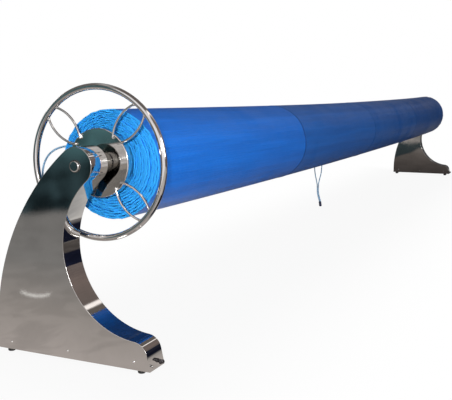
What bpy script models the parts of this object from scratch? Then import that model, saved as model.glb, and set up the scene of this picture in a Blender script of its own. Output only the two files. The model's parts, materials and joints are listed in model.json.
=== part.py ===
# Reel that winds up a swimming pool cover.
# Two polished box legs carry a roller. A handwheel turns the roller at the near end,
# a tubular drive sits inside it at the far end, and the cover is wound on it.
# Metres, +Z up. +X runs along the roller from the handwheel end to the far end,
# -Y is the side of the legs' toes. The origin is on the floor, under the middle of the reel.

import math

import bmesh
import bpy
import numpy as np
from mathutils import Matrix, Vector

# Fits
CLEARANCE = 0.0003            # between faces that touch or run on each other

# Legs
LEG_GAP = 7.317               # between the inner faces of the two legs
LEG_THICKNESS = 0.108
AXIS_HEIGHT = 0.758           # roller axis above the floor
UNDERSIDE = 0.020             # lower edge of the legs above the floor
HUB_RADIUS = 0.0715           # rounded top of a leg, round the axis
HEEL_REACH = 0.392            # from the axis to the back of a leg
TOE_REACH = 0.302             # from the axis to the front of a leg, at its underside
TOE_HEIGHT = 0.105            # underside to the lowest point of the front sweep
FRONT_SWEEP = 0.331           # radius of the hollow front edge
BACK_SWEEP = 0.945            # radius of the bowed back edge
TOE_ROUND = 0.058             # radius of the toe's upper corner
TOE_LEAN = math.radians(12)   # the toe's end wall leans back
LEG_SHEET = 0.0025            # wall of a leg
LEG_EDGE = 0.0012             # dressed weld edge of a leg

# Base tray, which closes a leg's underside
TRAY_SHEET = 0.0025
TRAY_HEIGHT = 0.045
FACE_SCREW_PLACES = (-0.233, 0.059, 0.325)   # from the axis along Y, on both faces of a leg
FACE_SCREW_RISE = 0.030       # above the underside
TOE_FITTING_RISE = 0.015      # screw and gland on the toe's end wall, above the underside
TOE_SCREW_INSET = 0.022       # from the leg's -X face
GLAND_INSET = 0.079           # from the leg's -X face

# Screws
SCREW_SHANK_RADIUS = 0.0025
SCREW_HEAD_RADIUS = 0.0050
SCREW_CROWN_RADIUS = 0.0032
SCREW_HEAD_HEIGHT = 0.0026
SCREW_GRIP = 0.012            # shank length under the head

# Blanked cable gland
GLAND_STEM_RADIUS = 0.0060
GLAND_COLLAR_RADIUS = 0.0095
GLAND_COLLAR_HEIGHT = 0.0040
GLAND_NUT_RADIUS = 0.0078
GLAND_HEIGHT = 0.0170
GLAND_TAPER = 0.0025
GLAND_BORE_RADIUS = 0.0032
GLAND_BORE_DEPTH = 0.0080
GLAND_STEM_DEPTH = 0.0130

# Rubber feet
FOOT_RADIUS = 0.0150
FOOT_BASE_RADIUS = 0.0125
FOOT_EDGE = 0.0030
FOOT_FROM_TOE = 0.055         # foot centre from the toe's lower edge
FOOT_FROM_HEEL = 0.035
FOOT_FROM_FACE = 0.034
STUD_RADIUS = 0.0040
STUD_NUT_RADIUS = 0.0075
STUD_NUT_HEIGHT = 0.0050

# Bushes and axle
AXLE_RADIUS = 0.0150
AXLE_PROUD = 0.0070           # past a leg's outer face
AXLE_CHAMFER = 0.0020
BUSH_WALL = 0.0032
BUSH_LENGTH = 0.030
BUSH_FLANGE_RADIUS = 0.0205
BUSH_FLANGE = 0.0030
SLEEVE_WALL = 0.0040
COLLAR_RADIUS = 0.0390

# Hub disc and handwheel
DISC_FROM_LEG = 0.0427        # inner face of the near leg to the disc's front
DISC_RADIUS = 0.1335
DISC_DEPTH = 0.035
DISC_SHEET = 0.0030
DISC_CORNER = 0.0035
WHEEL_RADIUS = 0.2900         # to the middle of the rim's tube
WHEEL_TUBE_RADIUS = 0.0125
SPOKE_RADIUS = 0.0045
SPOKE_PAIRS = 4
WHEEL_TURN = math.radians(-2.2)   # how far the wheel stands turned from even quarters
SPOKE_START = 0.1175          # from the axis, on the disc
SPOKE_START_HALF_WIDTH = 0.0135
SPOKE_END_HALF_WIDTH = 0.0285
SPOKE_BOW = 0.0235            # rise of a spoke's arc over its chord
SPOKE_STEPS = 8

# Roller tubes
TUBE_RADIUS = 0.055
TUBE_WALL = 0.003
END_TUBE_LENGTH = 2.500
TUBE_OVERLAP = 0.350          # of the middle tube in each end tube
PLUG_LENGTH = 0.070

# Tubular drive in the far end
DRIVE_RADIUS = 0.030
DRIVE_LENGTH = 0.600
CROWN_LENGTH = 0.030
DRIVE_SHAFT_RADIUS = 0.0080
DRIVE_SHAFT_LENGTH = 0.012

# Wound cover
COVER_INSET = 0.1206          # from a leg's inner face to the cover's end
COVER_NEAR_RADIUS = 0.2218
COVER_FAR_RADIUS = 0.2285
COVER_TURNS = 18
COVER_SIDES = 32
COVER_PANELS = 4              # strips of film welded side by side
HANG_NEAR = 0.0165            # how far the outer turns hang below the axis
HANG_MIDDLE = 0.034
HANG_FAR = 0.0
LIP_COLUMN = 1                # facet edge where the free edge lies, counted from +Y
GROOVE_DEPTH = 0.0040
GROOVE_WIDTH = 0.0012
TELESCOPE = 0.0050            # how far one group of turns stands out
TELESCOPE_TURN = 13.5         # the turn where it starts
RIPPLE = 0.0022               # how far the edges wander in and out
RIPPLE_TURNS = 3.0            # turns from one high place to the next
RIPPLE_LOBES = 3.3            # smaller waves round one turn
RIPPLE_LOBE_SHARE = 0.7
RIPPLE_FADE = 7.0             # turns over which the smaller waves come and go
STATION_SHARE = 0.75          # extra sections, as a share of the half length

# Pull cords on the cover's free edge
CORD_RADIUS = 0.0040
CORD_SPACING = 0.023          # between the tube's points
CORD_FINE_STEPS = 20          # samples of the curve between chosen points
NEAR_CORD_FROM_END = 0.033
MIDDLE_CORDS_AT = (-0.105, 0.040)     # from the middle of the reel
FERRULE_WALL = 0.0030
FERRULE_LENGTH = 0.040
FERRULE_EDGE = 0.0015

# Facets of the turned pieces
DISC_SIDES = 40
FINE_SIDES = 24
SMALL_SIDES = 12
SCREW_SIDES = 10
WHEEL_STEPS = 48
WHEEL_SIDES = 8
BACK_STEPS = 11
HUB_STEPS = 14
FRONT_STEPS = 15
TOE_STEPS = 5
CORNER_STEPS = 3
FLAT_ANGLE = math.radians(0.5)   # faces that meet flatter than this are one face
SMOOTH_ANGLE = math.radians(35)  # faces that meet sharper than this show an edge
EDGE_ANGLE = math.radians(40)    # edges sharper than this are dressed
CUT_PAST = 0.010                 # how far cutters reach past what they cut
SPOKE_PASSES = 4                 # passes that bring a spoke's end to the rim


def running_bore(radius):
    """Radius of a faceted bore whose flats clear a shaft's turning corners."""
    return (radius + CLEARANCE) / math.cos(math.pi / FINE_SIDES)


# Worked-out places. Leg frame: X from the leg's -X face, Y from the axis, Z from the floor.
LEG_INNER = LEG_GAP / 2
LEG_OUTER = LEG_INNER + LEG_THICKNESS
COVER_HALF = LEG_INNER - COVER_INSET
TUBE_INNER = TUBE_RADIUS - TUBE_WALL
BUSH_BORE = running_bore(AXLE_RADIUS)
BUSH_RADIUS = BUSH_BORE + BUSH_WALL
SEAT_RADIUS = BUSH_RADIUS + CLEARANCE
FLANGE_FRONT = CLEARANCE + BUSH_FLANGE          # a bush's flange face, from the leg's face
DISC_FRONT = -LEG_INNER + DISC_FROM_LEG
WHEEL_PLANE = DISC_FRONT - CLEARANCE - SPOKE_RADIUS
ROLLER_START = DISC_FRONT + DISC_SHEET + CLEARANCE
ROLLER_END = -ROLLER_START
TOE_OUT = Vector((0, -math.cos(TOE_LEAN), math.sin(TOE_LEAN)))     # toe wall's outward direction


def toe_wall(rise):
    """A point's Y on the toe's outer wall, from its height above the underside."""
    return -TOE_REACH + rise * math.tan(TOE_LEAN)


GLAND_TIP_RADIUS = GLAND_NUT_RADIUS - GLAND_TAPER
FRONT_REACH = -toe_wall(TOE_FITTING_RISE) + math.cos(TOE_LEAN) * (CLEARANCE + GLAND_HEIGHT)
FRONT_REACH += math.sin(TOE_LEAN) * GLAND_TIP_RADIUS
AXIS_Y = (FRONT_REACH - HEEL_REACH) / 2         # the box of the reel is centred on Y = 0


# Scene, collections and materials
def clear_scene():
    for obj in list(bpy.data.objects):
        bpy.data.objects.remove(obj, do_unlink=True)


def new_collection(name):
    collection = bpy.data.collections.new(name)
    bpy.context.scene.collection.children.link(collection)
    return collection


def finish(name, colour, metallic, roughness):
    """A plain surface finish for one kind of piece."""
    material = bpy.data.materials.new(name)
    material.use_nodes = True
    shader = material.node_tree.nodes["Principled BSDF"]
    shader.inputs["Base Color"].default_value = (*colour, 1.0)
    shader.inputs["Metallic"].default_value = metallic
    shader.inputs["Roughness"].default_value = roughness
    material.diffuse_color = (*colour, 1.0)
    return material


clear_scene()
PARTS = new_collection("pool_cover_reel")
CUTTERS = new_collection("cutters")

POLISHED = finish("polished_steel", (0.62, 0.62, 0.60), 1.0, 0.08)
STEEL = finish("plain_steel", (0.50, 0.50, 0.50), 1.0, 0.35)
RUBBER = finish("black_rubber", (0.02, 0.02, 0.02), 0.0, 0.80)
NYLON = finish("black_nylon", (0.03, 0.025, 0.03), 0.0, 0.45)
ALUMINIUM = finish("aluminium_tube", (0.72, 0.73, 0.75), 1.0, 0.30)
GREY_PLASTIC = finish("grey_plastic", (0.20, 0.21, 0.22), 0.0, 0.50)
COVER_FILM = finish("blue_film", (0.03, 0.25, 0.75), 0.0, 0.40)
ROPE = finish("blue_rope", (0.25, 0.42, 0.58), 0.0, 0.70)
ROPE_END = finish("navy_sleeve", (0.02, 0.03, 0.12), 0.0, 0.50)


# Helpers
def frame_empty(name, place):
    """An empty that carries a group of pieces."""
    empty = bpy.data.objects.new(name, None)
    empty.location = place
    empty.empty_display_size = 0.1
    PARTS.objects.link(empty)
    return empty


def add_piece(name, mesh, material, parent, place=(0, 0, 0), turn=(0, 0, 0)):
    """Put a mesh into the model as one named piece, in its parent's frame."""
    obj = bpy.data.objects.new(name, mesh)
    obj.location = place
    obj.rotation_euler = turn
    obj.parent = parent
    mesh.materials.clear()
    mesh.materials.append(material)
    PARTS.objects.link(obj)
    return obj


def add_cutter(name, mesh, parent):
    cutter = bpy.data.objects.new(name, mesh)
    cutter.parent = parent
    cutter.hide_render = True
    cutter.display_type = 'WIRE'
    CUTTERS.objects.link(cutter)
    return cutter


def cut(obj, cutter):
    modifier = obj.modifiers.new(cutter.name, 'BOOLEAN')
    modifier.operation = 'DIFFERENCE'
    modifier.solver = 'EXACT'
    modifier.object = cutter


def bevel(obj, width):
    modifier = obj.modifiers.new("edge", 'BEVEL')
    modifier.width = width
    modifier.segments = 1
    modifier.limit_method = 'ANGLE'
    modifier.angle_limit = EDGE_ANGLE


def smooth(mesh):
    mesh.shade_smooth()
    mesh.set_sharp_from_angle(angle=SMOOTH_ANGLE)


def arc(centre, radius, start, end, steps):
    """Points round a centre from one angle to another, both included."""
    angles = np.linspace(start, end, steps + 1)
    return [(centre[0] + radius * math.cos(a), centre[1] + radius * math.sin(a)) for a in angles]


def turned(name, profile, sides, material, parent, place, axis=Vector((1, 0, 0)), ring=False):
    """Turn a profile of (distance along the axis, radius) points round the axis.

    The points run down the outer side, from the far end of the axis to its start. A ring's
    profile is a closed loop, and any other starts and ends on the axis.
    """
    mesh = bpy.data.meshes.new(name)
    points = [(radius, 0.0, along) for along, radius in profile]
    edges = [(i, i + 1) for i in range(len(points) - 1)]
    if ring:
        edges.append((len(points) - 1, 0))
    mesh.from_pydata(points, edges, [])
    obj = add_piece(name, mesh, material, parent, place)
    obj.rotation_euler = Vector((0, 0, 1)).rotation_difference(axis).to_euler()
    modifier = obj.modifiers.new("turn", 'SCREW')
    modifier.axis = 'Z'
    modifier.angle = math.tau
    modifier.steps = sides
    modifier.render_steps = sides
    modifier.use_merge_vertices = True
    modifier.merge_threshold = 0.00001
    modifier.use_smooth_shade = False
    return obj


def ring_profile(start, end, inner, outer):
    """Section of a plain ring."""
    return [(end, inner), (end, outer), (start, outer), (start, inner)]


def extruded(name, outline, low, high):
    """A flat outline of (Y, Z) points given a thickness along X, as a welded mesh."""
    curve = bpy.data.curves.new(name, 'CURVE')
    curve.dimensions = '2D'
    curve.fill_mode = 'BOTH'
    curve.extrude = (high - low) / 2
    spline = curve.splines.new('POLY')
    spline.points.add(len(outline) - 1)
    for point, (y, z) in zip(spline.points, outline):
        point.co = (y, z, 0.0, 1.0)
    spline.use_cyclic_u = True
    guide = bpy.data.objects.new(name + "_outline", curve)
    CUTTERS.objects.link(guide)
    bpy.context.view_layer.update()
    depsgraph = bpy.context.evaluated_depsgraph_get()
    mesh = bpy.data.meshes.new_from_object(guide.evaluated_get(depsgraph))
    bpy.data.objects.remove(guide, do_unlink=True)
    bpy.data.curves.remove(curve)
    across = Matrix(((0, 0, 1, (low + high) / 2), (1, 0, 0, 0), (0, 1, 0, 0), (0, 0, 0, 1)))
    mesh.transform(across)
    work = bmesh.new()
    work.from_mesh(mesh)
    bmesh.ops.remove_doubles(work, verts=work.verts, dist=0.00001)
    bmesh.ops.dissolve_limit(work, angle_limit=FLAT_ANGLE, verts=work.verts, edges=work.edges)
    bmesh.ops.recalc_face_normals(work, faces=work.faces)
    work.to_mesh(mesh)
    work.free()
    mesh.name = name
    return mesh


def rods(name, places, sides):
    """Cylinders for cutting holes: each is (start, end, radius)."""
    work = bmesh.new()
    for start, end, radius in places:
        start, end = Vector(start), Vector(end)
        along = end - start
        matrix = Matrix.Translation((start + end) / 2)
        matrix = matrix @ Vector((0, 0, 1)).rotation_difference(along).to_matrix().to_4x4()
        bmesh.ops.create_cone(work, cap_ends=True, segments=sides, radius1=radius,
                              radius2=radius, depth=along.length, matrix=matrix)
    mesh = bpy.data.meshes.new(name)
    work.to_mesh(mesh)
    work.free()
    return mesh


def tube_along(name, points, radius, resolution, material, parent):
    """A round bar along a row of points, with filled ends."""
    curve = bpy.data.curves.new(name, 'CURVE')
    curve.dimensions = '3D'
    curve.bevel_depth = radius
    curve.bevel_resolution = resolution
    curve.use_fill_caps = True
    spline = curve.splines.new('POLY')
    spline.points.add(len(points) - 1)
    for point, place in zip(spline.points, points):
        point.co = (*place, 1.0)
    curve.materials.append(material)
    obj = bpy.data.objects.new(name, curve)
    obj.parent = parent
    PARTS.objects.link(obj)
    return obj


# Leg outline
def leg_centres():
    """Centres of the leg's arcs: the front sweep, the back sweep and the toe's corner.

    The front sweep touches the rounded top from outside, and the back sweep from inside.
    """
    front_z = UNDERSIDE + TOE_HEIGHT + FRONT_SWEEP
    front_y = -math.sqrt((HUB_RADIUS + FRONT_SWEEP) ** 2 - (AXIS_HEIGHT - front_z) ** 2)
    back_y = HEEL_REACH - BACK_SWEEP
    back_z = AXIS_HEIGHT - math.sqrt((BACK_SWEEP - HUB_RADIUS) ** 2 - back_y ** 2)
    up_wall = Vector((math.sin(TOE_LEAN), math.cos(TOE_LEAN)))
    foot = Vector((-TOE_REACH + TOE_ROUND / math.cos(TOE_LEAN), UNDERSIDE))
    offset = foot - Vector((front_y, front_z))
    half = offset.dot(up_wall)
    reach = (FRONT_SWEEP + TOE_ROUND) ** 2 - offset.length_squared
    toe = foot + up_wall * (-half - math.sqrt(half ** 2 + reach))
    return Vector((front_y, front_z)), Vector((back_y, back_z)), toe


def leg_outline(inset, bottom):
    """The leg's side view, drawn in by an inset and ending at a given height."""
    hub = Vector((0.0, AXIS_HEIGHT))
    front, back, toe = leg_centres()
    back_top = math.atan2(hub.y - back.y, hub.x - back.x)
    front_top = math.atan2(hub.y - front.y, hub.x - front.x)
    front_low = math.atan2(toe.y - front.y, toe.x - front.x)
    points = [(HEEL_REACH - inset, bottom)]
    points += arc(back, BACK_SWEEP - inset, 0.0, back_top, BACK_STEPS)
    points += arc(hub, HUB_RADIUS - inset, back_top, front_top + math.pi, HUB_STEPS)[1:]
    points += arc(front, FRONT_SWEEP + inset, front_top, front_low, FRONT_STEPS)[1:]
    points += arc(toe, TOE_ROUND - inset, front_low + math.pi, math.pi - TOE_LEAN,
                  TOE_STEPS)[1:]
    points.append((toe_wall(bottom - UNDERSIDE) + inset / math.cos(TOE_LEAN), bottom))
    return points


def tray_outline(inset, low, high):
    """The lower part of the leg's side view, between two heights."""
    slant = inset / math.cos(TOE_LEAN)
    return [(HEEL_REACH - inset, low), (HEEL_REACH - inset, high),
            (toe_wall(high - UNDERSIDE) + slant, high), (toe_wall(low - UNDERSIDE) + slant, low)]


def toe_place(x):
    """A fitting's seat on the outside of the toe's end wall."""
    return Vector((x, toe_wall(TOE_FITTING_RISE), UNDERSIDE + TOE_FITTING_RISE))


def screw_profile(grip):
    """Pan head and shank. The head's underside stands a clearance off its seat."""
    head = SCREW_HEAD_HEIGHT + CLEARANCE
    return [(head, 0.0), (head, SCREW_CROWN_RADIUS), (CLEARANCE, SCREW_HEAD_RADIUS),
            (CLEARANCE, SCREW_SHANK_RADIUS), (-grip, SCREW_SHANK_RADIUS), (-grip, 0.0)]


def gland_profile():
    """Collar on the wall, round nut with a blanked mouth, and the stem inside the leg."""
    top = CLEARANCE + GLAND_HEIGHT
    shoulder = CLEARANCE + GLAND_COLLAR_HEIGHT
    return [(top - GLAND_BORE_DEPTH, 0.0), (top - GLAND_BORE_DEPTH, GLAND_BORE_RADIUS),
            (top, GLAND_BORE_RADIUS), (top, GLAND_TIP_RADIUS),
            (top - GLAND_TAPER, GLAND_NUT_RADIUS), (shoulder, GLAND_NUT_RADIUS),
            (shoulder, GLAND_COLLAR_RADIUS), (CLEARANCE, GLAND_COLLAR_RADIUS),
            (CLEARANCE, GLAND_STEM_RADIUS), (-GLAND_STEM_DEPTH, GLAND_STEM_RADIUS),
            (-GLAND_STEM_DEPTH, 0.0)]


def foot_profile():
    """Rubber buffer on its stud, with the nut above the tray."""
    seat = UNDERSIDE - CLEARANCE
    nut_low = UNDERSIDE + TRAY_SHEET + CLEARANCE
    nut_high = nut_low + STUD_NUT_HEIGHT
    return [(nut_high, 0.0), (nut_high, STUD_NUT_RADIUS),
            (nut_low, STUD_NUT_RADIUS), (nut_low, STUD_RADIUS),
            (seat, STUD_RADIUS), (seat, FOOT_RADIUS), (FOOT_EDGE, FOOT_RADIUS),
            (0.0, FOOT_BASE_RADIUS), (0.0, 0.0)]


def add_leg(side, low_x, faces):
    """One leg with its base tray, feet, screws, gland, weld-in sleeve and bushes.

    The faces are the names of its -X and its +X face.
    """
    low_face, high_face = faces
    leg = frame_empty(side + "_leg", (low_x, AXIS_Y, 0))
    screw_z = UNDERSIDE + FACE_SCREW_RISE
    hole = SCREW_SHANK_RADIUS + CLEARANCE
    face_holes = [((-CUT_PAST, y, screw_z), (LEG_THICKNESS + CUT_PAST, y, screw_z), hole)
                  for y in FACE_SCREW_PLACES]
    toe_holes = []
    for x, radius in ((TOE_SCREW_INSET, hole), (GLAND_INSET, GLAND_STEM_RADIUS + CLEARANCE)):
        seat = toe_place(x)
        toe_holes.append((seat + TOE_OUT * CUT_PAST, seat - TOE_OUT * CUT_PAST, radius))
    foot_x = (FOOT_FROM_FACE, LEG_THICKNESS - FOOT_FROM_FACE)
    foot_y = (FOOT_FROM_TOE - TOE_REACH, HEEL_REACH - FOOT_FROM_HEEL)

    shell = add_piece(side + "_leg_shell",
                      extruded(side + "_leg_shell", leg_outline(0.0, UNDERSIDE), 0, LEG_THICKNESS),
                      POLISHED, leg)
    bevel(shell, LEG_EDGE)
    hollow = extruded(side + "_hollow", leg_outline(LEG_SHEET, UNDERSIDE - CUT_PAST),
                      LEG_SHEET, LEG_THICKNESS - LEG_SHEET)
    cut(shell, add_cutter(side + "_hollow", hollow, leg))
    axis_hole = [((-CUT_PAST, 0, AXIS_HEIGHT), (LEG_THICKNESS + CUT_PAST, 0, AXIS_HEIGHT),
                  SEAT_RADIUS)]
    cut(shell, add_cutter(side + "_axis_hole", rods("axis_hole", axis_hole, FINE_SIDES), leg))
    shell_holes = rods(side + "_shell_holes", face_holes + toe_holes, SCREW_SIDES)
    cut(shell, add_cutter(side + "_shell_holes", shell_holes, leg))

    fit = LEG_SHEET + CLEARANCE
    top = UNDERSIDE + TRAY_HEIGHT
    tray = add_piece(side + "_base_tray",
                     extruded(side + "_base_tray", tray_outline(fit, UNDERSIDE, top),
                              fit, LEG_THICKNESS - fit), STEEL, leg)
    inner = fit + TRAY_SHEET
    hollow = extruded(side + "_tray_hollow",
                      tray_outline(inner, UNDERSIDE + TRAY_SHEET, top + CUT_PAST),
                      inner, LEG_THICKNESS - inner)
    cut(tray, add_cutter(side + "_tray_hollow", hollow, leg))
    stud_holes = [((x, y, UNDERSIDE - CUT_PAST), (x, y, UNDERSIDE + CUT_PAST),
                   STUD_RADIUS + CLEARANCE) for x in foot_x for y in foot_y]
    tray_holes = rods(side + "_tray_holes", face_holes + toe_holes + stud_holes, SCREW_SIDES)
    cut(tray, add_cutter(side + "_tray_holes", tray_holes, leg))

    for x, face in zip(foot_x, faces):
        for y, end in zip(foot_y, ("toe", "heel")):
            turned(f"{side}_foot_{end}_{face}", foot_profile(), SMALL_SIDES, RUBBER, leg,
                   (x, y, 0), Vector((0, 0, 1)))
    for number, y in enumerate(FACE_SCREW_PLACES, 1):
        turned(f"{side}_screw_{low_face}_{number}", screw_profile(SCREW_GRIP), SCREW_SIDES, STEEL, leg,
               (0, y, screw_z), Vector((-1, 0, 0)))
        turned(f"{side}_screw_{high_face}_{number}", screw_profile(SCREW_GRIP), SCREW_SIDES, STEEL, leg,
               (LEG_THICKNESS, y, screw_z), Vector((1, 0, 0)))
    turned(side + "_toe_screw", screw_profile(SCREW_GRIP), SCREW_SIDES, STEEL, leg,
           toe_place(TOE_SCREW_INSET), TOE_OUT)
    turned(side + "_cable_gland", gland_profile(), SMALL_SIDES, NYLON, leg,
           toe_place(GLAND_INSET), TOE_OUT)

    sleeve = ring_profile(LEG_SHEET + CLEARANCE, LEG_THICKNESS - LEG_SHEET - CLEARANCE,
                          SEAT_RADIUS, SEAT_RADIUS + SLEEVE_WALL)
    turned(side + "_hub_sleeve", sleeve, FINE_SIDES, STEEL, leg, (0, 0, AXIS_HEIGHT), ring=True)
    bush = [(FLANGE_FRONT, BUSH_BORE), (FLANGE_FRONT, BUSH_FLANGE_RADIUS),
            (CLEARANCE, BUSH_FLANGE_RADIUS), (CLEARANCE, BUSH_RADIUS),
            (-BUSH_LENGTH, BUSH_RADIUS), (-BUSH_LENGTH, BUSH_BORE)]
    turned(f"{side}_bush_{low_face}", bush, FINE_SIDES, NYLON, leg, (0, 0, AXIS_HEIGHT),
           Vector((-1, 0, 0)), ring=True)
    turned(f"{side}_bush_{high_face}", bush, FINE_SIDES, NYLON, leg, (LEG_THICKNESS, 0, AXIS_HEIGHT),
           Vector((1, 0, 0)), ring=True)
    return leg


# Roller
def add_axle_group(roller):
    """Near axle with its spacer collar, the hub disc and the plug inside the tube."""
    end = ROLLER_START + PLUG_LENGTH
    start = -LEG_OUTER - AXLE_PROUD
    axle = [(end, 0.0), (end, AXLE_RADIUS), (start + AXLE_CHAMFER, AXLE_RADIUS),
            (start, AXLE_RADIUS - AXLE_CHAMFER), (start, 0.0)]
    turned("axle", axle, FINE_SIDES, POLISHED, roller, (0, 0, 0))
    collar = ring_profile(-LEG_INNER + FLANGE_FRONT + CLEARANCE, DISC_FRONT - CLEARANCE,
                          AXLE_RADIUS + CLEARANCE, COLLAR_RADIUS)
    turned("axle_collar", collar, FINE_SIDES, POLISHED, roller, (0, 0, 0), ring=True)
    back = DISC_FRONT + DISC_DEPTH
    wall = DISC_RADIUS - DISC_SHEET
    corner = arc((DISC_FRONT + DISC_CORNER, DISC_RADIUS - DISC_CORNER), DISC_CORNER,
                 math.pi / 2, math.pi, CORNER_STEPS)
    disc = [(back, wall), (back, DISC_RADIUS)] + corner
    disc += [(DISC_FRONT, AXLE_RADIUS + CLEARANCE), (DISC_FRONT + DISC_SHEET, AXLE_RADIUS + CLEARANCE),
             (DISC_FRONT + DISC_SHEET, wall)]
    turned("hub_disc", disc, DISC_SIDES, POLISHED, roller, (0, 0, 0), ring=True)
    plug = ring_profile(ROLLER_START, end, AXLE_RADIUS + CLEARANCE, TUBE_INNER - CLEARANCE)
    turned("near_tube_plug", plug, FINE_SIDES, STEEL, roller, (0, 0, 0), ring=True)


def spoke_points(centre_angle, side):
    """One bent spoke: a circular arc that bows away from its pair's centre line.

    Its end is cut square, so the corner that reaches furthest stops short of the rim.
    """
    rim = (WHEEL_RADIUS - WHEEL_TUBE_RADIUS) * math.cos(math.pi / WHEEL_STEPS) - CLEARANCE
    start = Vector((SPOKE_START, SPOKE_START_HALF_WIDTH))
    end = Vector((rim - SPOKE_RADIUS, SPOKE_END_HALF_WIDTH))
    for _ in range(SPOKE_PASSES):
        chord = end - start
        normal = Vector((-chord.y, chord.x)).normalized()
        half = chord.length / 2
        radius = (half ** 2 + SPOKE_BOW ** 2) / (2 * SPOKE_BOW)
        sweep = math.asin(half / radius)
        way = chord.normalized() * math.cos(sweep) - normal * math.sin(sweep)
        corner = end + Vector((-way.y, way.x)) * SPOKE_RADIUS
        end.x += rim - corner.length
    centre = start + chord / 2 + normal * (SPOKE_BOW - radius)
    along = chord.normalized()
    points = []
    for step in range(SPOKE_STEPS + 1):
        angle = sweep * (2 * step / SPOKE_STEPS - 1)
        flat = centre + (along * math.sin(angle) + normal * math.cos(angle)) * radius
        out, across = flat.x, flat.y * side
        points.append((WHEEL_PLANE,
                       out * math.cos(centre_angle) - across * math.sin(centre_angle),
                       out * math.sin(centre_angle) + across * math.cos(centre_angle)))
    return points


def add_handwheel(roller):
    """Tube rim and four pairs of bent spokes."""
    bpy.ops.mesh.primitive_torus_add(major_radius=WHEEL_RADIUS, minor_radius=WHEEL_TUBE_RADIUS,
                                     major_segments=WHEEL_STEPS, minor_segments=WHEEL_SIDES)
    made = bpy.context.object
    mesh = made.data
    mesh.name = "handwheel_rim"
    bpy.data.objects.remove(made, do_unlink=True)
    mesh.transform(Matrix.Rotation(math.pi / 2, 4, 'Y'))
    smooth(mesh)
    add_piece("handwheel_rim", mesh, POLISHED, roller, (WHEEL_PLANE, 0, 0))
    number = 0
    for pair in range(SPOKE_PAIRS):
        centre_angle = math.tau * (pair + 0.5) / SPOKE_PAIRS + WHEEL_TURN
        for side in (-1, 1):
            number += 1
            tube_along(f"spoke_{number}", spoke_points(centre_angle, side), SPOKE_RADIUS, 2,
                       POLISHED, roller)


def add_tubes(roller):
    """Two end tubes and the middle tube that slides in both."""
    near = ring_profile(ROLLER_START, ROLLER_START + END_TUBE_LENGTH, TUBE_INNER, TUBE_RADIUS)
    far = ring_profile(ROLLER_END - END_TUBE_LENGTH, ROLLER_END, TUBE_INNER, TUBE_RADIUS)
    half = ROLLER_END - END_TUBE_LENGTH + TUBE_OVERLAP
    middle = ring_profile(-half, half, TUBE_INNER - CLEARANCE - TUBE_WALL, TUBE_INNER - CLEARANCE)
    for name, profile in (("near_tube", near), ("middle_tube", middle), ("far_tube", far)):
        turned(name, profile, FINE_SIDES, ALUMINIUM, roller, (0, 0, 0), ring=True)


def add_drive(roller, far_leg):
    """Tubular drive: the head and the drive tube stay with the leg, the crowns turn."""
    axis = (0, 0, AXIS_HEIGHT)
    inward = Vector((-1, 0, 0))
    seat = DISC_FROM_LEG
    head = [(seat, 0.0), (seat, COLLAR_RADIUS), (FLANGE_FRONT + CLEARANCE, COLLAR_RADIUS),
            (FLANGE_FRONT + CLEARANCE, AXLE_RADIUS),
            (-LEG_THICKNESS - AXLE_PROUD + AXLE_CHAMFER, AXLE_RADIUS),
            (-LEG_THICKNESS - AXLE_PROUD, AXLE_RADIUS - AXLE_CHAMFER),
            (-LEG_THICKNESS - AXLE_PROUD, 0.0)]
    turned("drive_head", head, FINE_SIDES, POLISHED, far_leg, axis, inward)
    start = seat + CLEARANCE
    end = start + DRIVE_LENGTH
    drive = [(end, 0.0), (end, DRIVE_RADIUS), (start, DRIVE_RADIUS), (start, 0.0)]
    turned("drive_tube", drive, FINE_SIDES, STEEL, far_leg, axis, inward)

    mouth = LEG_INNER - ROLLER_END
    bore = running_bore(DRIVE_RADIUS)
    idler = [(mouth + CROWN_LENGTH, bore),
             (mouth + CROWN_LENGTH, TUBE_INNER - CLEARANCE),
             (mouth - CLEARANCE, TUBE_INNER - CLEARANCE), (mouth - CLEARANCE, TUBE_RADIUS),
             (seat + 2 * CLEARANCE, TUBE_RADIUS), (seat + 2 * CLEARANCE, bore)]
    far_end = (LEG_INNER, 0, 0)
    turned("idler_crown", idler, FINE_SIDES, GREY_PLASTIC, roller, far_end, inward, ring=True)
    shaft = end + CLEARANCE
    face = shaft + DRIVE_SHAFT_LENGTH
    crown = [(face + CROWN_LENGTH, 0.0), (face + CROWN_LENGTH, TUBE_INNER - CLEARANCE),
             (face, TUBE_INNER - CLEARANCE), (face, DRIVE_SHAFT_RADIUS),
             (shaft, DRIVE_SHAFT_RADIUS), (shaft, 0.0)]
    turned("drive_crown", crown, FINE_SIDES, GREY_PLASTIC, roller, far_end, inward)


# Wound cover
def cover_share(x):
    """0 at the cover's near end, 1 at its far end."""
    return (x + COVER_HALF) / (2 * COVER_HALF)


def cover_hang(x):
    """How far the outermost turn hangs below the axis: a parabola through three values."""
    t = cover_share(x)
    near = HANG_NEAR * (1 - t) * (1 - 2 * t)
    middle = HANG_MIDDLE * 4 * t * (1 - t)
    far = HANG_FAR * t * (2 * t - 1)
    return near + middle + far


def cover_point(x, turn, column):
    """A point of the winding, in the roller's frame.

    The turn counts from the tube outwards and the column round the axis from +Y. The radius
    grows evenly with the turn, and the outer turns hang lower the further out they lie.
    """
    bore = (TUBE_RADIUS + CLEARANCE) / math.cos(math.pi / COVER_SIDES)
    outside = COVER_NEAR_RADIUS + (COVER_FAR_RADIUS - COVER_NEAR_RADIUS) * cover_share(x)
    radius = bore + (outside - bore) * turn / COVER_TURNS
    angle = math.tau * column / COVER_SIDES
    drop = cover_hang(x) * (turn / COVER_TURNS) ** 2
    return Vector((x, radius * math.cos(angle), radius * math.sin(angle) - drop))


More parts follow.
